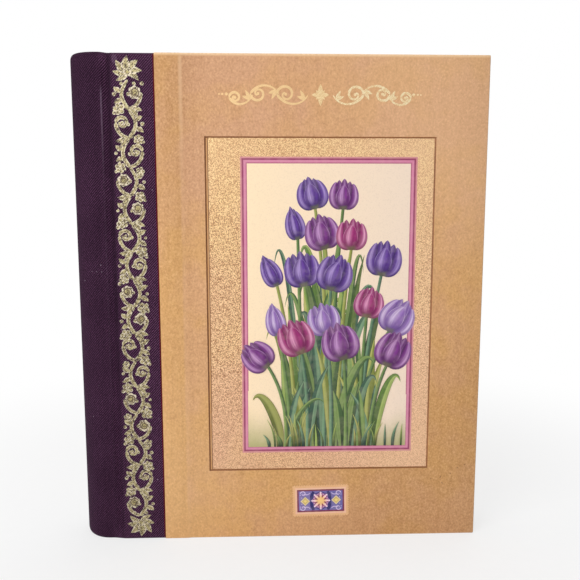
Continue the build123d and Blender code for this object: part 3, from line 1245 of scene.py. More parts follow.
@dataclass
class FoilBand:
    """Vine scroll stamped in foil on the front cloth; sizes in millimetres."""

    sheet: InkSheet
    finish: Material
    middle_x: float = -60.0
    foot: float = 10.6
    head: float = 192.4
    end_gap: float = 3.6
    bows: int = 16
    sway: float = 2.7
    stroke: float = 0.76
    # Colour of the painted highlight along the edges of the foil shapes.
    rim: Colour = tint(232, 220, 200)
    core: Colour = tint(176, 164, 112)
    shade: Colour = tint(70, 46, 48)
    seed: int = 7

    def __post_init__(self) -> None:
        """Start the chances and share out the length."""
        self.chance = random.Random(self.seed)
        self.length = (self.head - self.foot) / self.bows

    def build(self) -> None:
        """Build the stem with all that grows on it, and a finial at each end."""
        for index in range(self.bows):
            self._bow(index)
        for index in range(1, self.bows):
            self._crossing(index)
        self._finial(self.head + self.end_gap, 1)
        self._finial(self.foot - self.end_gap, -1)
        self.sheet.finish(self.finish, "book_cloth")

    def _foil(self, side: float, share: float) -> Colour:
        """Foil of a stroke or leaf: a painted highlight along its rims and a duller core."""
        return mingle(self.core, self.rim, swell(abs(side), 0.3, 0.9))

    def _button(self, side: float, share: float) -> Colour:
        """Foil of a round: a painted highlight along its rim and a duller core."""
        return mingle(self.core, self.rim, swell(share, 0.4, 0.95))

    def _bow(self, index: int) -> None:
        """One bow of the stem, the tendril or rose inside it and the leaves outside it.

        Args:
            index: Number of the bow, from the foot.
        """
        sheet, chance, stroke = self.sheet, self.chance, self.stroke
        out = 1 if index % 2 == 0 else -1
        root = complex(self.middle_x, self.foot + index * self.length)
        sway = self.sway * chance.uniform(0.9, 1.1)

        def near(x: float, share: float) -> complex:
            """Spot at a share of the bow and a distance outward."""
            return root + complex(out * x, share * self.length)

        width = taper(stroke * 1.15, stroke * 0.8)
        sheet.ribbon(lambda share: near(sway * sin(pi * share), share), width, self._foil, 16, 4)
        eye = near(-2.6, 0.56 + chance.uniform(-0.03, 0.03))
        outer = eye - out * 2.5
        branch = bezier(near(0, 0.02), near(-3.6, 0.06), outer - 2.6j, outer)
        sheet.ribbon(branch, taper(stroke * 0.9, stroke), self._foil, 12, 4)
        if index % 4 in (0, 3):
            sheet.blot(eye, 2.65, self._button, 7, 0.14, chance.uniform(0, tau))
            wind = coil(eye, 0.7 * 2.65, 0.16 * 2.65, chance.uniform(0, 360), 1.5)
            sheet.ribbon(wind, taper(0.2, 0.14), solid(self.shade), 24)
        else:
            tendril = coil(eye, 2.5, 0.75, 90 + out * 90, -out * 1.05)
            sheet.ribbon(tendril, taper(stroke * 1.05, stroke * 0.75), self._foil, 22, 4)
            sheet.blot(eye, 0.72, self._button)
        for share, lean in ((0.36, -30), (0.62, 32)):
            self._leaf(near(2.9, share), 90 - out * (90 - lean), chance.uniform(3.0, 3.6), 1.1)
        for x, share in ((5.4, 0.5), (-5.6, 0.86), (-0.2, 0.5)):
            spot = near(x, share + chance.uniform(-0.03, 0.03))
            sheet.blot(spot, chance.uniform(0.6, 0.85), self._button)

    def _crossing(self, index: int) -> None:
        """Rosette and, across the stem, a spray or a second one, where two bows meet.

        Args:
            index: Number of the upper bow.
        """
        chance = self.chance
        side = 1 if index % 2 == 0 else -1
        stem = complex(self.middle_x, self.foot + index * self.length)
        rose = stem + complex(side * 3.75, chance.uniform(-0.5, 0.5))
        self._rosette(rose, chance.uniform(2.15, 2.45))
        if chance.random() < 0.35:
            self._rosette(stem - complex(side * 4.0, 1.6), chance.uniform(1.6, 1.9))
            return
        for lean, length in ((6, 4.4), (52, 3.9)):
            heading = (0 if side < 0 else 180) + lean * side
            self._leaf(stem - side * 1.1, heading + chance.uniform(-6, 6), length, 1.15)

    def _rosette(self, centre: complex, radius: float) -> None:
        """Open flower of round petals about a button.

        Args:
            centre: Its middle.
            radius: Its radius.
        """
        petals, turn = self.chance.choice((5, 6)), self.chance.uniform(0, 360)
        for petal in range(petals):
            spot = centre + cmath.rect(0.6 * radius, radians(turn + 360 * petal / petals))
            self.sheet.blot(spot, radius * (0.45 if petals == 5 else 0.39), self._button)
        self.sheet.blot(centre, radius * 0.24, self._button)

    def _leaf(self, root: complex, heading: float, length: float, half: float) -> None:
        """Leaf that grows from a root in a heading, bowed a little."""
        self.sheet.ribbon(blade(root, heading, length, 0.18), leaf_width(half, 0.7, 0.4), self._foil, 8, 4)

    def _finial(self, height: float, way: int) -> None:
        """Spray of broad leaves with a bud each side that ends the stem.

        Args:
            height: Height of its root.
            way: One upwards, minus one downwards.
        """
        root = complex(self.middle_x, height - way * 0.6)
        for lean, length, half in ((-36, 5.6, 1.2), (4, 5.8, 1.45), (46, 6.4, 1.6)):
            for heading in (lean, 180 - lean):
                self._leaf(root, way * heading, length, half)
        self._leaf(root, way * 90, 6.2, 1.8)
        self.sheet.blot(root, 1.7, self._button, 6, 0.25)
        for side in (-1, 1):
            self.sheet.blot(root + complex(side * 2.5, -way * 4.4), 0.75, self._button)


@dataclass(frozen=True)
class Bloom:
    """Colours of one kind of tulip or leaf, from its shadows to its lights."""

    deep: Colour
    mid: Colour
    light: Colour

    def stem(self, side: float, share: float) -> Colour:
        """Ink of a round stem, lit from the left."""
        lit = mingle(self.deep, self.light, swell(-side, -1.0, 0.7))
        return mingle(lit, self.mid, 0.35 + 0.3 * share)

    def blade(self, side: float, share: float) -> Colour:
        """Ink of a blade of grass, its right side in shade."""
        return mingle(mingle(self.deep, self.light, share), self.deep, 0.5 if side > 0.2 else 0.0)


VIOLET = Bloom(tint(46, 18, 84), tint(96, 54, 150), tint(186, 160, 222))
PURPLE = Bloom(tint(66, 14, 74), tint(124, 46, 136), tint(212, 164, 216))
MAGENTA = Bloom(tint(96, 10, 66), tint(162, 40, 116), tint(238, 168, 204))
LILAC = Bloom(tint(92, 60, 128), tint(152, 112, 186), tint(230, 210, 240))
GREENS = (
    Bloom(tint(20, 44, 28), tint(62, 98, 52), tint(156, 182, 104)),
    Bloom(tint(16, 46, 42), tint(54, 94, 74), tint(146, 182, 140)),
    Bloom(tint(58, 66, 22), tint(124, 134, 54), tint(206, 206, 120)),
    Bloom(tint(30, 60, 26), tint(86, 122, 50), tint(184, 202, 112)),
)


@dataclass(frozen=True)
class Plant:
    """One tulip: where its stem starts, where its flower sits, and how that flower looks."""

    foot_x: float
    top: complex
    size: float
    kind: Bloom
    bud: bool


@dataclass
class PanelPicture:
    """Framed print in the pressed panel, a bed of tulips; sizes in millimetres."""

    book: BookFrame
    panel: PressedPanel
    finish: Material
    low: complex = -15.95 + 38.05j
    high: complex = 56.45 + 162.75j
    lowest: float = 72.0
    highest: float = 144.0
    clear: Pair = (10.6, 14.6)
    shoulder: float = 30.0
    frame: float = 2.6
    step: float = 0.0012
    draws: int = 900
    back_leaves: int = 16
    blades: int = 34
    seed: int = 19
    rings: tuple[tuple[float, Colour], ...] = (
        (0.65, tint(212, 142, 146)),
        (0.7, tint(152, 64, 100)),
        (0.95, tint(214, 134, 164)),
        (0.45, tint(184, 100, 130)),
    )
    creases: tuple[tuple[float, float, Colour], ...] = (
        (0.3, 0.3, tint(200, 148, 96)),
        (0.7, 0.16, tint(134, 88, 52)),
    )
    cream: Colour = tint(254, 228, 190)
    cool: Colour = tint(244, 222, 202)
    grass: Colour = tint(164, 164, 104)
    sap: Colour = tint(104, 108, 62)

    def __post_init__(self) -> None:
        """Start the back sheet and the chances."""
        self.floor_h = self.book.paper_h - self.panel.depth
        self.sheet = InkSheet("panel_print", self.floor_h, self.step)
        self.chance = random.Random(self.seed)
        self.middle = (self.low + self.high).real / 2

    def build(self) -> None:
        """Build the frame and its ground, then the plants, the tallest at the back."""
        chance = self.chance
        self.sheet.framed(self.low, self.high, self.rings, self._ground)
        self._wash()
        self._crease()
        plants = self._plants()
        for _ in range(self.back_leaves):
            foot = chance.gauss(self.middle, 9)
            self._leaf(foot, chance.choice((-1, 1)), self.highest, 0.3 * chance.random())
        half = len(plants) // 2
        self._grow(plants[:half], 0.7)
        level = self.sheet.level
        self.sheet.finish(self.finish, "cover_paper")
        self.sheet = InkSheet("panel_print_front", self.floor_h, self.step)
        self.sheet.level = level
        self._grow(plants[half:], 0.3)
        self._blades()
        self.sheet.finish(self.finish, "cover_paper")

    def _crease(self) -> None:
        """Second brown line down the left side of the panel, with a tan strip between the two."""
        panel = self.panel
        low = complex(panel.left + panel.wall, panel.foot + panel.wall) / MM
        high = complex(panel.left + panel.wall, panel.head - panel.wall) / MM
        for shift, half, colour in self.creases:
            self.sheet.ribbon(bezier(low + shift, high + shift), even(half), solid(colour), 2)

    def _ground(self, side: float, share: float) -> Colour:
        """Cream ground, cooler towards the right."""
        return mingle(self.cream, self.cool, (side + 1) / 2)

    def _wash(self) -> None:
        """Soft green wash at the foot of the bed, fading into the ground."""
        inner, tall = 2.5, 26
        foot, reach = complex(self.middle, self.low.imag + inner), (self.high - self.low).real / 2 - inner

        def shape(side: float, share: float) -> complex:
            """Spot under the ragged upper edge."""
            ragged = 0.82 + 0.18 * sin(5 * side + 1.0) * sin(11 * side)
            return foot + complex(side * reach, share * tall * ragged)

        def ink(side: float, share: float) -> Colour:
            """Green that fades upwards."""
            return mingle(self.grass, self._ground(side, share), swell(share, -0.25, 0.85))

        self.sheet.patch(24, 8, shape, ink)

    def _plants(self) -> list[Plant]:
        """Scatter the flowers under a dome so that none stands on another.

        Returns:
            The plants, the tallest first.
        """
        chance = self.chance
        reach = (self.high - self.low).real / 2 - 9.5
        spots: list[complex] = []
        for _ in range(self.draws):
            out = chance.uniform(-1, 1)
            dome = self.highest - self.shoulder * out * out
            spot = complex(self.middle + reach * out, chance.uniform(self.lowest, dome))
            gaps = [spot - other for other in spots]
            if all(hypot(gap.real / self.clear[0], gap.imag / self.clear[1]) > 1 for gap in gaps):
                spots.append(spot)
        spots.sort(key=lambda spot: -spot.imag)
        plants = []
        for index, spot in enumerate(spots):
            height = (spot.imag - self.lowest) / (self.highest - self.lowest)
            violet = chance.random() < 0.15 + 0.75 * height
            kind = chance.choice((VIOLET, VIOLET, PURPLE, LILAC) if violet else (MAGENTA, MAGENTA, PURPLE))
            foot = self.middle * 0.45 + spot.real * 0.55 + chance.uniform(-5, 5)
            size = chance.uniform(0.8, 1.02) + 0.14 * (1 - height)
            plants.append(Plant(foot, spot, size, kind, bud=index % 5 == 2))
        return plants

    def _grow(self, plants: Sequence[Plant], gloom: float) -> None:
        """Lay down leaves, stem and flower of each plant in turn.

        Args:
            plants: The plants.
            gloom: Most that a leaf behind is darkened by.
        """
        chance = self.chance
        for plant in plants:
            for way in chance.choice(((-1, 1, -1), (1, -1, 1), (1, -1, 1, -1))):
                self._leaf(plant.foot_x, way, plant.top.imag, gloom * chance.random())
            bend = plant.foot_x + (plant.top.real - plant.foot_x) * chance.uniform(-0.2, 0.3)
            foot = complex(plant.foot_x, self.low.imag + self.frame)
            path = bezier(foot, complex(bend, 0.5 * plant.top.imag + 24), plant.top)
            self.sheet.ribbon(path, lambda share: 0.95 - 0.35 * share, chance.choice(GREENS).stem, 26, 4)
            lean = 90 - degrees(cmath.phase(plant.top - path(0.9)))
            self._tulip(plant, 1.3 * lean + chance.uniform(-10, 10))

    def _leaf(self, foot_x: float, way: int, top_z: float, gloom: float) -> None:
        """Long leaf that rises beside a stem, and stands up or arches over.

        Args:
            foot_x: Foot of the stem.
            way: Side of the stem, -1 or 1.
            top_z: Height of the flower.
            gloom: How much it is darkened.
        """
        chance = self.chance
        green = chance.choice(GREENS)
        foot = complex(foot_x + way * chance.uniform(0.4, 2.5), self.low.imag + self.frame)
        tall = (top_z - foot.imag) * chance.uniform(0.5, 0.98)
        arched = chance.random() < 0.4
        out = way * (chance.uniform(9, 17) if arched else chance.uniform(1, 9))
        out = min(max(foot.real + out, self.low.real + 4.5), self.high.real - 4.5) - foot.real
        crest = complex(out * 0.75, tall * 1.12) if arched else complex(out * 0.45, tall * 0.8)
        tip = complex(out, tall * (0.82 if arched else 1.0))
        path = bezier(foot, foot + complex(way, 0.55 * tall), foot + crest, foot + tip)
        fold = chance.uniform(-0.3, 0.3)
        lit_side = chance.choice((-1, 1))

        def ink(side: float, share: float) -> Colour:
            """Colour of the folded and veined blade.

            Args:
                side: Share across it, -1 to 1.
                share: Share along it, 0 to 1.

            Returns:
                The colour.
            """
            shade = mingle(green.deep, green.mid, swell(share, 0.0, 0.6))
            half = mingle(shade, green.light, 0.08 if lit_side * side < fold else 0.66)
            rib = exp(-(((lit_side * side - fold) / 0.1) ** 2))
            edge = swell(abs(side), 0.8, 1.0)
            vein = 0.16 * (0.5 + 0.5 * sin(24 * side))
            veined = mingle(mingle(half, green.light, 0.5 * rib), green.deep, min(1.0, 0.5 * edge + vein))
            return mingle(veined, green.deep, gloom)

        self.sheet.ribbon(path, leaf_width(chance.uniform(1.1, 2.3), 0.62, 0.5), ink, 24, 10)

    def _tulip(self, plant: Plant, lean: float) -> None:
        """Cup-shaped flower of six petals seen from the side, or a closed bud.

        Args:
            plant: Its plant.
            lean: How far it leans over, in degrees.
        """
        chance = self.chance
        turn = cmath.rect(plant.size, radians(-lean))
        spread = 0.45 if plant.bud else chance.uniform(0.75, 1.25)
        slim = 0.62 if plant.bud else 1.0
        skew = chance.uniform(-0.8, 0.8)
        petals = (
            ((0, -2.6 + 5j, -2.3 * spread + 13.2j), 2.6, 0.45, 0.3, 0),
            ((0, 2.6 + 5j, 2.5 * spread + 12.7j), 2.6, 0.45, -0.3, 0),
            ((0, 0.3 + 7j, skew + 13.9j), 2.5, 0.3, 0.0, 0),
            ((0, -6.6 + 0.2j, -5.2 + 8.2j, -3.7 * spread + 12.2j), 2.35, 0.0, -0.35, 1),
            ((0, 6.6 + 0.2j, 5.2 + 8.2j, 3.9 * spread + 11.7j), 2.35, 0.0, 0.4, -1),
            ((-0.2j, -0.6 - skew + 5j, 0.6 * skew + 10.8j), 3.5, -0.1, -0.3, 0),
        )
        for points, half, *look in petals:
            path = bezier(*(plant.top + turn * complex(spot.real * slim, spot.imag) for spot in points))
            ink = partial(self._petal, plant.kind, (*look, chance.uniform(0, tau)))
            self.sheet.ribbon(path, leaf_width(half * slim * plant.size, 0.9, 0.4, 0.62), ink, 20, 16)

    def _petal(self, kind: Bloom, look: Sequence[float], side: float, share: float) -> Colour:
        """Colour of a petal: a dark root, a light streak, veins and a pale margin.

        Args:
            kind: Kind of flower.
            look: Its shade, the place of its streak, its tucked side and the start of its veins.
            side: Share across it, -1 to 1.
            share: Share along it, 0 to 1.

        Returns:
            The colour.
        """
        shade, light, tuck, phase = look
        body = mingle(kind.deep, kind.mid, swell(share, -0.1, 0.6))
        streak = exp(-(((side - light) / 0.33) ** 2)) * swell(share, 0.05, 0.5)
        lit = mingle(body, kind.light, 0.8 * streak * (1 - 0.3 * swell(share, 0.7, 1.0)))
        feather = 0.5 + 0.5 * sin(17 * side + phase + 2.2 * sin(4 * side + 3 * share))
        vein = 0.4 * feather**2 * swell(share, 0.0, 0.35) + 0.3 * swell(abs(side), 0.45, 0.8)
        margin = 0.5 * swell(abs(side), 0.84, 0.98) * swell(share, 0.2, 0.6) + 0.3 * swell(share, 0.9, 1.0)
        under = 0.75 * swell(tuck * side, 0.0, 0.8) if tuck else 0.0
        veined = mingle(mingle(lit, kind.deep, min(1.0, vein)), kind.light, min(1.0, margin))
        rooted = mingle(veined, self.sap, 0.6 * (1 - swell(share, 0.02, 0.16)))
        return mingle(rooted, kind.deep, min(1.0, max(0.0, shade + under)))

    def _blades(self) -> None:
        """Short blades of grass along the front of the bed."""
        chance = self.chance
        left, right = self.low.real + 4, self.high.real - 4
        for _ in range(self.blades):
            foot = complex(chance.uniform(left, right), self.low.imag + 2.55)
            tall = chance.uniform(5, 17)
            tip_x = min(max(foot.real + chance.uniform(-4, 4), left), right)
            path = bezier(foot, foot + 0.6j * tall, complex(tip_x, foot.imag + tall))
            green = chance.choice(GREENS)
            self.sheet.ribbon(path, leaf_width(chance.uniform(0.35, 0.75), 0.45, 0.9), green.blade, 10, 4)


@dataclass
class TitleFlourish:
    """Scroll in bright foil across the head of the front cover; sizes in millimetres."""

    sheet: InkSheet
    finish: Material
    centre: complex = 16.5 + 187j
    stroke: float = 0.575
    gold: Colour = tint(251, 223, 172)
    # One foil in two tones: painted reflection, duller on the left half and brighter on the right.
    left_gold: Colour = tint(247, 210, 154)
    right_gold: Colour = tint(254, 236, 194)

    def build(self) -> None:
        """Build the ornament, each half a mirror of the other, in two tones of foil as painted reflection."""
        self._half(-1, solid(self.left_gold))
        self._half(1, solid(self.right_gold))
        gold = solid(self.gold)
        for heading in range(0, 360, 90):
            self._drop(self.centre, heading, 3.6 if heading % 180 == 0 else 4.3, 0.9, gold)
        for heading in range(45, 360, 90):
            self._drop(self.centre, heading, 2.6, 0.6, gold)
        self.sheet.finish(self.finish, "cover_paper")

    def _drop(self, root: complex, heading: float, length: float, half: float, ink: Ink) -> None:
        """Drop-shaped leaf that grows from a root in one heading."""
        self.sheet.ribbon(blade(root, heading, length), leaf_width(half, 0.75, 0.2), ink, 10)

    def _half(self, way: int, gold: Ink) -> None:
        """One half: three scrolls that grow smaller, with leaves between them.

        Args:
            way: Minus one to the left, one to the right.
            gold: Its foil.
        """
        sheet, centre = self.sheet, self.centre

        def spot(x: float, z: float) -> complex:
            """Spot at distances outward and up."""
            return centre + complex(way * x, z)

        for start, end, size, up in ((5.0, 17.5, 3.6, 1), (16.5, 28.0, 3.0, -1), (27.0, 36.5, 2.3, 1)):
            level = up * (size - 3.4)
            eye = spot(end - size, level)
            steer = spot(start + 2.5, -up * 4.6), spot(end - size, -up * 4.9)
            sweep = bezier(spot(start, 0.0), *steer, spot(end, level))
            sheet.ribbon(sweep, taper(0.25, self.stroke), gold, 20)
            curl = coil(eye, size, 0.55, 0 if way > 0 else 180, up * way * 1.2)
            sheet.ribbon(curl, taper(self.stroke, 0.3), gold, 26)
            sheet.blot(eye, 0.62, gold)
            for lean, length in ((62, 4.0), (20, 3.4)):
                heading = up * lean if way > 0 else 180 - up * lean
                self._drop(sweep(0.14), heading, length, 0.68, gold)
        for x, size in ((37.6, 0.62), (39.2, 0.46), (40.5, 0.34)):
            sheet.blot(spot(x, 0.2), size, gold)


@dataclass
class HandlingMarks:
    """Small dents near the lower fore corner: spot, heading and length of each."""

    sheet: InkSheet
    finish: Material
    marks: tuple[tuple[complex, float, float], ...] = (
        (69.6 + 26.2j, 72, 1.5),
        (70.5 + 23.4j, -42, 1.1),
        (74.0 + 27.7j, 58, 0.8),
        (77.0 + 30.2j, 40, 0.8),
        (80.0 + 31.6j, 80, 0.7),
        (65.4 + 25.5j, 60, 0.6),
    )
    colour: Colour = tint(150, 104, 64)

    def build(self) -> None:
        """Build the marks as short tapered strokes."""
        for spot, heading, length in self.marks:
            reach = cmath.rect(0.5 * length, radians(heading))
            stroke = bezier(spot - reach, spot + reach)
            self.sheet.ribbon(stroke, leaf_width(0.2, 0.8, 0.5), solid(self.colour), 6)
        self.sheet.finish(self.finish, "cover_paper")


@dataclass
class TileOrnament:
    """Small printed tile low on the front cover; sizes in millimetres."""

    sheet: InkSheet
    finish: Material
    centre: complex = 17.6 + 16.2j
    half: complex = 11.8 + 6.7j
    tilt: float = 1.0
    edge: Colour = tint(232, 182, 132)
    peach: Colour = tint(240, 190, 160)
    wine: Colour = tint(122, 42, 76)
    field_left: Colour = tint(134, 118, 176)
    field_right: Colour = tint(98, 96, 164)
    pale: Colour = tint(206, 190, 226)
    dark: Colour = tint(44, 40, 104)
    lilac: Colour = tint(190, 142, 186)
    petal_root: Colour = tint(250, 204, 150)
    petal_tip: Colour = tint(246, 208, 220)
    petal_end: Colour = tint(247, 222, 232)
    heart_middle: Colour = tint(250, 210, 128)
    heart_rim: Colour = tint(246, 194, 134)
    lozenge: tuple[tuple[float, Colour], ...] = (
        (2.3, tint(120, 110, 140)),
        (2.05, tint(232, 212, 176)),
        (1.6, tint(214, 186, 110)),
        (0.75, tint(236, 212, 132)),
    )
    discs: tuple[tuple[float, float, Colour], ...] = (
        (4.3, 0.1, tint(48, 42, 112)),
        (4.0, 0.16, tint(166, 124, 178)),
        (3.3, 0.0, tint(140, 48, 82)),
    )

    def build(self) -> None:
        """Build the tile level, then tilt it as it is printed."""
        self._scallops()
        rings = ((0.8, self.edge), (0.8, self.peach), (0.7, self.wine))
        self.sheet.framed(self.centre - self.half, self.centre + self.half, rings, self._field)
        self._curls()
        for way in (-1, 1):
            self._lozenge(self.centre + way * (6.7 + 0.15j))
        self._rosette()
        mesh = self.sheet.piece.mesh
        place = Matrix.Translation((self.centre.real * MM, 0, self.centre.imag * MM))
        turn = place @ Matrix.Rotation(radians(-self.tilt), 4, "Y") @ place.inverted()
        bmesh.ops.transform(mesh, matrix=turn, verts=mesh.verts[:])
        self.sheet.finish(self.finish, "cover_paper")

    def _field(self, side: float, share: float) -> Colour:
        """Blue-violet field, paler to the left."""
        return mingle(self.field_left, self.field_right, (side + 1) / 2)

    def _petal(self, side: float, share: float) -> Colour:
        """Thin petal, rosier towards its tip."""
        return mingle(self.petal_root, self.petal_tip, swell(share, 0.35, 0.75))

    def _heart(self, side: float, share: float) -> Colour:
        """Golden heart of the rosette."""
        return mingle(self.heart_middle, self.heart_rim, share)

    def _scallops(self) -> None:
        """Row of small rounds along each side."""
        width, height = self.half.real, self.half.imag
        for count, reach, level, along_x in ((22, width, height, True), (13, height, width, False)):
            for index in range(count):
                along = reach * (2 * (index + 0.5) / count - 1)
                for way in (-1, 1):
                    shift = complex(along, way * level) if along_x else complex(way * level, along)
                    self.sheet.blot(self.centre + shift, 0.42, solid(self.edge))

    def _curls(self) -> None:
        """Pale tendrils in the four corners and dark leaves beside the rosette."""
        sheet, centre = self.sheet, self.centre
        pale, dark = solid(self.pale), solid(self.dark)
        for across, up in ((-1, -1), (-1, 1), (1, -1), (1, 1)):
            eye = centre + complex(across * 7.6, up * 3.2)
            curl = coil(eye, 1.25, 0.3, 90 - across * 90, across * up * 1.1)
            sheet.ribbon(curl, taper(0.24, 0.14), pale, 16)
            root, bend = centre + complex(across * 4.6, up * 3.7), centre + complex(across * 5.4, up * 2.2)
            sheet.ribbon(bezier(root, bend, eye), taper(0.14, 0.24), pale, 8)
            leaf = bezier(centre + complex(across * 3.1, up * 4.2), centre + across * 4.6)
            sheet.ribbon(leaf, leaf_width(0.8, 0.7, 0.8), dark, 8)
            for x, z in ((8.2, 1.4), (8.85, 2.7)):
                sheet.blot(centre + complex(across * x, up * z), 0.22, pale)

    def _lozenge(self, centre: complex) -> None:
        """Yellow lozenge with a pale rim and an olive heart.

        Args:
            centre: Its middle.
        """

        def shape(side: float, share: float) -> complex:
            """Spot in a square set on its corner."""
            return centre + reach * ((0.5 - 0.5j) * side + (0.5 + 0.5j) * (2 * share - 1))

        for reach, colour in self.lozenge:
            self.sheet.patch(2, 2, shape, solid(colour))

    def _rosette(self) -> None:
        """Flower of eight thin petals on maroon, in a lilac ring, with a golden heart."""
        sheet, centre = self.sheet, self.centre
        for reach, depth, colour in self.discs:
            sheet.blot(centre, reach, solid(colour), 8, depth)
        for heading in range(0, 360, 45):
            way = cmath.rect(1.0, radians(heading))
            sheet.blot(centre + cmath.rect(3.0, radians(heading + 22.5)), 0.42, solid(self.lilac))
            petal = bezier(centre + 0.5 * way, centre + 3.8 * way)
            sheet.ribbon(petal, leaf_width(0.52, 1.2, 0.6), self._petal, 8, 4)
            sheet.blot(centre + 3.75 * way, 0.34, solid(self.petal_end))
        sheet.blot(centre, 1.75, self._heart, 8, 0.16)


class Section:
    """One lettered part of the leaf block, from its divider to its last leaf."""

    def __init__(self, letters: str) -> None:
        """Read the section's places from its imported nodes.

        Args:
            letters: Letters of the section.
        """
        card_low, card_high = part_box(f"divider_{letters}")
        pack_low, pack_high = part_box(f"leaves_{letters}")
        self.letters, self.body = letters, f"section_{letters}"
        self.front_y, self.card_y, self.back_y = card_low.y, pack_low.y, pack_high.y
        self.edge_x, self.tab_x = pack_high.x, card_high.x


@dataclass
class LeafBlock:
    """Everything between the covers: flyleaves, dividers, ruled leaves and the folds that hold them."""

    book: BookFrame
    sections: Sequence[Section]
    paper: Material
    card: Material
    endpaper: Material
    lettering: Material
    leaves: int = 8
    air: float = 0.012 * MM
    ragged: float = 0.14 * MM
    bend: float = 6.0 * MM
    bend_steps: int = 14
    tab_gap: float = 0.4 * MM
    tab_corner: float = 2.0 * MM
    letter_size: float = 5.4 * MM
    letter_lines: float = 0.95
    letter_shift: float = 0.2 * MM
    letter_lift: float = 0.02 * MM
    letter_film: float = 0.015 * MM
    seed: int = 11

    def __post_init__(self) -> None:
        """Take over the places that all the leaves share, and start the chances."""
        self.root_x, self.foot, self.head = self.book.leaf_x, self.book.leaf_foot, self.book.leaf_head
        self.chance = random.Random(self.seed)

    def build(self) -> None:
        """Build and dress the flyleaves, the sections and the folds."""
        for side in Side:
            node = f"{side.word}_flyleaf"
            flyleaf = Piece(f"{node}_skin")
            flyleaf.box(*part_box(node))
            self._hang(flyleaf, self.endpaper, node, node)
            self._endpaper_fold(side)
        for index, section in enumerate(self.sections):
            self._divider(section, index)
            self._pack(section)
        self._folds()

    def _hang(
        self, piece: Piece, finish: Material, node: str, body: str, edge_x: float = 0.0
    ) -> None:
        """Let a sheet stand for a node: cut it across near the binding, give it a flat map and dress it.

        Args:
            piece: The sheet.
            finish: Its material.
            node: Node that it stands for.
            body: Not used.
            edge_x: Where its flat map starts.
        """
        cuts = [self.root_x + self.bend * step / self.bend_steps for step in range(1, self.bend_steps + 1)]
        piece.cut((1, 0, 0), cuts)
        piece.lay_flat(lambda place: (place.x - edge_x, place.z))
        dressed = piece.finish(finish)
        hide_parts(node)
        low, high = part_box(node)
        deep = (low.y + high.y) / 2
        end = (self.root_x + self.bend, deep, self.book.middle_z)
        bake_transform(dressed)

    def _endpaper_fold(self, side: Side) -> None:
        """Gutter of an endpaper: a sheet curved round from one leg to the other.

        Args:
            side: Cover that it is glued to.
        """
        node = f"{side.word}_endpaper_fold"
        low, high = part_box(node)
        leaf_low, leaf_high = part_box(f"{side.word}_flyleaf")
        sheet = leaf_high.y - leaf_low.y
        inner, outer = sorted((abs(low.y), abs(high.y)))
        middle, reach = (inner + outer) / 2, (outer - inner) / 2
        hollow = reach - sheet
        outline = [(high.x, outer), *arc((low.x + reach, middle), (reach, reach), 90, 270, 8)]
        outline += [(self.root_x, inner), (self.root_x, inner + sheet)]
        outline += [*arc((low.x + reach, middle), (hollow, hollow), 270, 90, 6), (high.x, outer - sheet)]
        piece = Piece(f"{node}_skin")
        ring = [(x, side.value * height, self.foot) for x, height in outline]
        piece.draw_out(piece.face(ring), (0, 0, self.head - self.foot))
        piece.face_out()
        span = high.x - self.root_x
        piece.cut((1, 0, 0), [self.root_x + span * step / 8 for step in range(1, 8)])
        piece.lay_flat()
        dressed = piece.finish(self.endpaper)
        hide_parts(node)
        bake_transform(dressed)

    def _divider(self, section: Section, index: int) -> None:
        """Card in front of a section, with its tab and the letters on both faces of it.

        Args:
            section: The section.
            index: Its number, from the front.
        """
        pitch = (self.head - self.foot) / len(self.sections)
        tab_head = self.head - index * pitch
        tab_foot = tab_head - pitch + self.tab_gap
        round_x, corner = section.tab_x - self.tab_corner, (self.tab_corner, self.tab_corner)
        outline = [(self.root_x, self.foot), (section.edge_x, self.foot)]
        outline += [(section.edge_x, tab_foot)] * (tab_foot > self.foot + self.tab_gap)
        outline += arc((round_x, max(tab_foot, self.foot) + self.tab_corner), corner, -90, 0, 6)
        outline += arc((round_x, tab_head - self.tab_corner), corner, 0, 90, 6)
        outline += [(section.edge_x, tab_head)]
        outline += [(section.edge_x, self.head)] * (tab_head < self.head - self.tab_gap)
        outline += [(self.root_x, self.head)]
        node = f"divider_{section.letters}"
        piece = Piece(f"{node}_skin")
        ring = [(x, section.front_y, z) for x, z in outline]
        piece.draw_out(piece.face(ring), (0, section.card_y - section.front_y, 0))
        piece.face_out()
        self._hang(piece, self.card, node, section.body, section.edge_x)
        middle_x = (section.edge_x + section.tab_x) / 2 + self.letter_shift
        self._letters(section, middle_x, (tab_foot + tab_head) / 2)

    def _letters(self, section: Section, middle_x: float, middle_z: float) -> None:
        """Index letters, one above the other, on both faces of a tab.

        Args:
            section: The section.
            middle_x: Middle of the tab's width.
            middle_z: Middle of its height.
        """
        curve = bpy.data.curves.new(f"letters_{section.letters}", "FONT")
        curve.body = "\n".join(section.letters.upper())
        curve.align_x, curve.align_y = "CENTER", "CENTER"
        curve.size, curve.space_line = self.letter_size, self.letter_lines
        curve.extrude = self.letter_film
        curve.resolution_u = 3
        source = bpy.data.objects.new(curve.name, curve)
        outlines = bpy.data.meshes.new_from_object(source)
        bpy.data.objects.remove(source)
        piece = Piece(f"tab_letters_{section.letters}")
        upright, lift = Matrix.Rotation(pi / 2, 4, "X"), self.letter_lift
        for y, turn in ((section.front_y - lift, 0.0), (section.card_y + lift, pi)):
            before = set(piece.mesh.verts)
            piece.mesh.from_mesh(outlines)
            placed = [vert for vert in piece.mesh.verts if vert not in before]
            matrix = Matrix.Translation((middle_x, y, middle_z)) @ Matrix.Rotation(turn, 4, "Z") @ upright
            bmesh.ops.transform(piece.mesh, matrix=matrix, verts=placed)
        bmesh.ops.remove_doubles(piece.mesh, verts=piece.mesh.verts[:], dist=TOUCH)
        bpy.data.meshes.remove(outlines)
        dressed = piece.finish(self.lettering)
        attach(dressed, section.body)

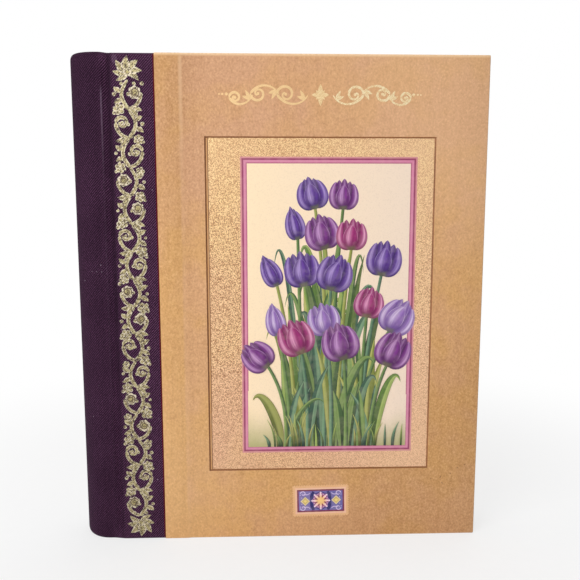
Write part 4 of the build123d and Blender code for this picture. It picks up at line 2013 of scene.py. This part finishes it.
    def _layers(self, section: Section) -> list[Pair]:
        """Front and back of each leaf of a section."""
        pitch, gap, start = (section.back_y - section.card_y) / self.leaves, self.air / 2, section.card_y
        return [(start + pitch * n + gap, start + pitch * (n + 1) - gap) for n in range(self.leaves)]

    def _pack(self, section: Section) -> None:
        """Pack of ruled leaves, their edges a little ragged.

        Args:
            section: The section.
        """
        node = f"leaves_{section.letters}"
        piece = Piece(f"{node}_skin")
        for front, back in self._layers(section):
            foot = self.foot + self.chance.uniform(0, self.ragged)
            head = self.head - self.chance.uniform(0, self.ragged)
            edge = section.edge_x - self.chance.uniform(0, 2 * self.ragged)
            piece.box((self.root_x, front, foot), (edge, back, head))
        self._hang(piece, self.paper, node, section.body)

    def _folds(self) -> None:
        """Folded back edges of all the sections, leaf by leaf, rounded like the block's back."""
        _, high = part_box("section_folds")
        band_low, band_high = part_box("head_band")
        half, rise = high.y, band_high.x - band_low.x
        radius = (half**2 + rise**2) / (2 * rise)
        centre_x = band_low.x + radius
        piece = Piece("section_folds_skin")
        for section in self.sections:
            middle = (section.front_y + section.back_y) / 2
            reach = (section.back_y - section.front_y) / 2
            nose_x = centre_x - sqrt(radius**2 - (abs(middle) + reach) ** 2) + reach
            card = (section.front_y, section.card_y - self.air)
            for front, back in (card, *self._layers(section)):
                away = min(max(abs(front - middle), abs(back - middle)), reach)
                back_x = nose_x - sqrt(reach**2 - away**2)
                piece.box((back_x, front, self.foot), (self.root_x, back, self.head))
        piece.lay_flat()
        dressed = piece.finish(self.paper)
        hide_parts("section_folds")
        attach(dressed, "binding")


@dataclass
class SewnBands:
    """Striped bands worked over a cord at the head and tail of the block's back."""

    half_block: float
    plum: Material
    cream: Material
    threads: int = 42
    steps: int = 4
    bulge: float = 0.1

    def build(self) -> None:
        """Build both bands."""
        for node in ("head_band", "tail_band"):
            self._band(node)

    def _band(self, node: str) -> None:
        """Cord bent round the block's back, wound with swelling threads of two colours in turn.

        Args:
            node: Node of the band.
        """
        low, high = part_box(node)
        rise, radius = high.x - low.x, (high.z - low.z) / 2
        outer = (self.half_block**2 + rise**2) / (2 * rise)
        ring = outer - radius
        centre = Vector((low.x + outer, 0, (low.z + high.z) / 2))
        reach = asin(high.y / ring)

        def turn(place: Vector) -> float:
            """Number of the thread at a point."""
            angle = atan2(place.y, centre.x - place.x)
            return (angle + reach) / (2 * reach) * self.threads

        piece = Piece(f"{node}_skin")
        profile = arc((0, 0), (radius / (1 + self.bulge), radius / (1 + self.bulge)), 0, 324, 9)
        start = piece.face((centre.x - ring - across, 0, centre.z + up) for across, up in profile)
        place = Matrix.Translation(centre) @ Matrix.Rotation(-reach, 4, "Z") @ Matrix.Translation(-centre)
        bmesh.ops.transform(piece.mesh, matrix=place, verts=list(start.verts))
        parts, steps = [start, *start.edges, *start.verts], self.threads * self.steps
        bmesh.ops.spin(piece.mesh, geom=parts, cent=centre, axis=(0, 0, 1), angle=2 * reach, steps=steps)
        for face in piece.mesh.faces:
            face.material_index = int(turn(face.calc_center_median())) % 2
        for vert in piece.mesh.verts:
            outward = Vector((vert.co.x - centre.x, vert.co.y, 0)).normalized()
            core = centre + outward * ring
            swollen = 1 + self.bulge * abs(sin(pi * turn(vert.co)))
            vert.co = core + (vert.co - core) * swollen
        piece.face_out()
        dressed = piece.finish(self.plum, self.cream, smooth=50.0)
        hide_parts(node)
        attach(dressed, "binding")


@dataclass
class Studio:
    """Floor, lamps, surrounding white and the camera."""

    position: Vector = Vector((-5.6, -291.65, 145.74)) * MM
    yaw: float = radians(-2.027)
    pitch: float = radians(-7.623)
    focal_share: float = 680 / 580
    sensor: float = 36.0
    floor_half: float = 4.0
    floor_grey: Colour = tint(240, 240, 240)
    floor_light: Colour = tint(246, 246, 246)
    white: Colour = (1.0, 1.0, 1.0)
    lamps: tuple[tuple[str, tuple[float, float, float], float, float], ...] = (
        ("key_lamp", (-0.45, -0.55, 0.36), 0.5, 4.1),
        ("fill_lamp", (0.75, -0.75, 0.35), 0.8, 0.15),
        ("top_lamp", (0.1, 0.25, 0.95), 0.7, 3.4),
    )

    def build(self) -> None:
        """Set up everything round the book."""
        self._camera()
        self._floor()
        self._world()
        self._lamps()
        bpy.context.scene.view_settings.view_transform = "Standard"

    def _camera(self) -> None:
        """Camera at the photograph's angle, for a square picture."""
        data = bpy.data.cameras.new("camera")
        data.sensor_width = self.sensor
        data.lens = self.sensor * self.focal_share
        data.clip_start = 0.01
        camera = bpy.data.objects.new("camera", data)
        bpy.context.scene.collection.objects.link(camera)
        turn = Matrix.Rotation(self.yaw, 4, "Z") @ Matrix.Rotation(self.pitch + pi / 2, 4, "X")
        camera.matrix_world = Matrix.Translation(self.position) @ turn
        bpy.context.scene.camera = camera

    def _floor(self) -> None:
        """Pale floor that keeps a soft shadow and fades into white."""
        piece = Piece("floor")
        bmesh.ops.create_grid(piece.mesh, x_segments=2, y_segments=2, size=self.floor_half)
        pen = NodeWriter("pale_floor", roughness=0.9, specular=0.1)
        place = pen.place(Layout.BODY)
        pen.set("Base Color", pen.mix(pen.grain(place, 5.0), self.floor_grey, self.floor_light))
        distance = pen.add("VectorMath", "Value", {"Vector": place}, operation="LENGTH")
        rays = pen.add("LightPath", 0, {}).socket.node.outputs
        kinds = ("Is Camera Ray", "Is Glossy Ray", "Is Transmission Ray")
        straight, shiny, clear = (Pattern(pen, rays[kind]) for kind in kinds)
        faded = (straight | shiny | clear) * distance.fade(100.0, 330.0, 0.7, 1.0)
        matt = Pattern(pen, pen.shader.outputs["BSDF"])
        glow = pen.add("Emission", "Emission", {"Color": self.white, "Strength": 1.0})
        blend = pen.add("MixShader", "Shader", {0: faded, 1: matt, 2: glow})
        pen.tree.links.new(blend.socket, pen.output.inputs["Surface"])
        piece.finish(pen.material)

    def _world(self) -> None:
        """White to the eye, softer as light."""
        world = bpy.data.worlds.new("studio")
        bpy.context.scene.world = world
        world.use_nodes = True
        tree = world.node_tree
        background = tree.nodes["Background"]
        path = tree.nodes.new("ShaderNodeLightPath")
        strength = tree.nodes.new("ShaderNodeMapRange")
        strength.inputs["To Min"].default_value = 0.32
        strength.inputs["To Max"].default_value = 1.0
        tree.links.new(path.outputs["Is Camera Ray"], strength.inputs["Value"])
        tree.links.new(strength.outputs["Result"], background.inputs["Strength"])
        background.inputs["Color"].default_value = (*self.white, 1.0)

    def _lamps(self) -> None:
        """Soft square lamps turned towards the book's middle: name, place, side and watts of each."""
        for name, place, side, power in self.lamps:
            data = bpy.data.lights.new(name, "AREA")
            data.size, data.energy = side, power
            lamp = bpy.data.objects.new(name, data)
            bpy.context.scene.collection.objects.link(lamp)
            aim = (Vector((0, 0, 0.1)) - Vector(place)).to_track_quat("-Z", "Y")
            lamp.matrix_world = Matrix.Translation(place) @ aim.to_matrix().to_4x4()


def main() -> None:
    """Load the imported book, dress it and set it in the studio."""
    logging.basicConfig(level=logging.INFO, format="%(message)s")
    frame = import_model()
    book = BookFrame()
    panel = PressedPanel()
    cloth = TwillCloth(book).make()
    card = PlainStock("inlay_card", tint(205, 190, 165), tint(168, 150, 122)).make()
    board = PlainStock("grey_board", tint(176, 168, 154), tint(138, 129, 116), grain=0.9).make()
    endpaper = PlainStock("endpaper", tint(240, 229, 208), tint(226, 210, 182), layout=Layout.FLAT).make()
    line = PlainStock("panel_line", tint(160, 108, 68), tint(112, 70, 40), roughness=0.55).make()
    cover_paper = CoverPaper(book).make()
    stipple = GoldStipple(panel.foot, panel.head).make()
    ClothCase(book, cloth, card).build()
    PaperCovering(book, panel, cover_paper, line, stipple, endpaper).build()
    ink = PrintedInk().make()
    band_foil = GoldFoil("band_foil", tint(104, 88, 62), tint(44, 22, 36), 0.47, lump=0.7).make()
    title_foil = GoldFoil("title_foil", tint(238, 200, 144), tint(214, 170, 116), 0.3, 0.3).make()
    FoilBand(InkSheet("foil_band", book.cloth_h, 0.0003), band_foil).build()
    PanelPicture(book, panel, ink).build()
    TitleFlourish(InkSheet("title_flourish", book.paper_h, 0.0004), title_foil).build()
    TileOrnament(InkSheet("tile_print", book.paper_h, 0.0008), ink).build()
    HandlingMarks(InkSheet("handling_marks", book.paper_h, 0.0, lift=0.012, film=0.01), ink).build()
    dividers = [node for node in frame["nodes"] if node.startswith("divider_")]
    sections = [Section(node.removeprefix("divider_")) for node in dividers]
    sections.sort(key=lambda section: section.front_y)
    fore_x = sections[0].edge_x
    paper = RuledLeaf(book, fore_x).make()
    divider = DividerCard(book, fore_x).make()
    letter = PlainStock("tab_letter", tint(250, 240, 220), tint(236, 222, 196), roughness=0.5).make()
    LeafBlock(book, sections, paper, divider, endpaper, letter).build()
    thread = {"grain": 0.25, "roughness": 0.5}
    plum = PlainStock("plum_thread", tint(104, 62, 104), tint(66, 32, 68), **thread).make()
    cream = PlainStock("cream_thread", tint(240, 224, 188), tint(206, 184, 142), **thread).make()
    SewnBands(-sections[0].front_y, plum, cream).build()
    liner = PlainStock("liner_paper", tint(196, 164, 116), tint(160, 126, 82), grain=0.9).make()
    kept = {"front_board": board, "back_board": board, "mull": Gauze().make(), "spine_liner": liner}
    for node, finish in kept.items():
        shown = frame["nodes"][node]
        shown.data.materials.clear()
        shown.data.materials.append(finish)
    Studio().build()


if __name__ == "__main__":
    main()
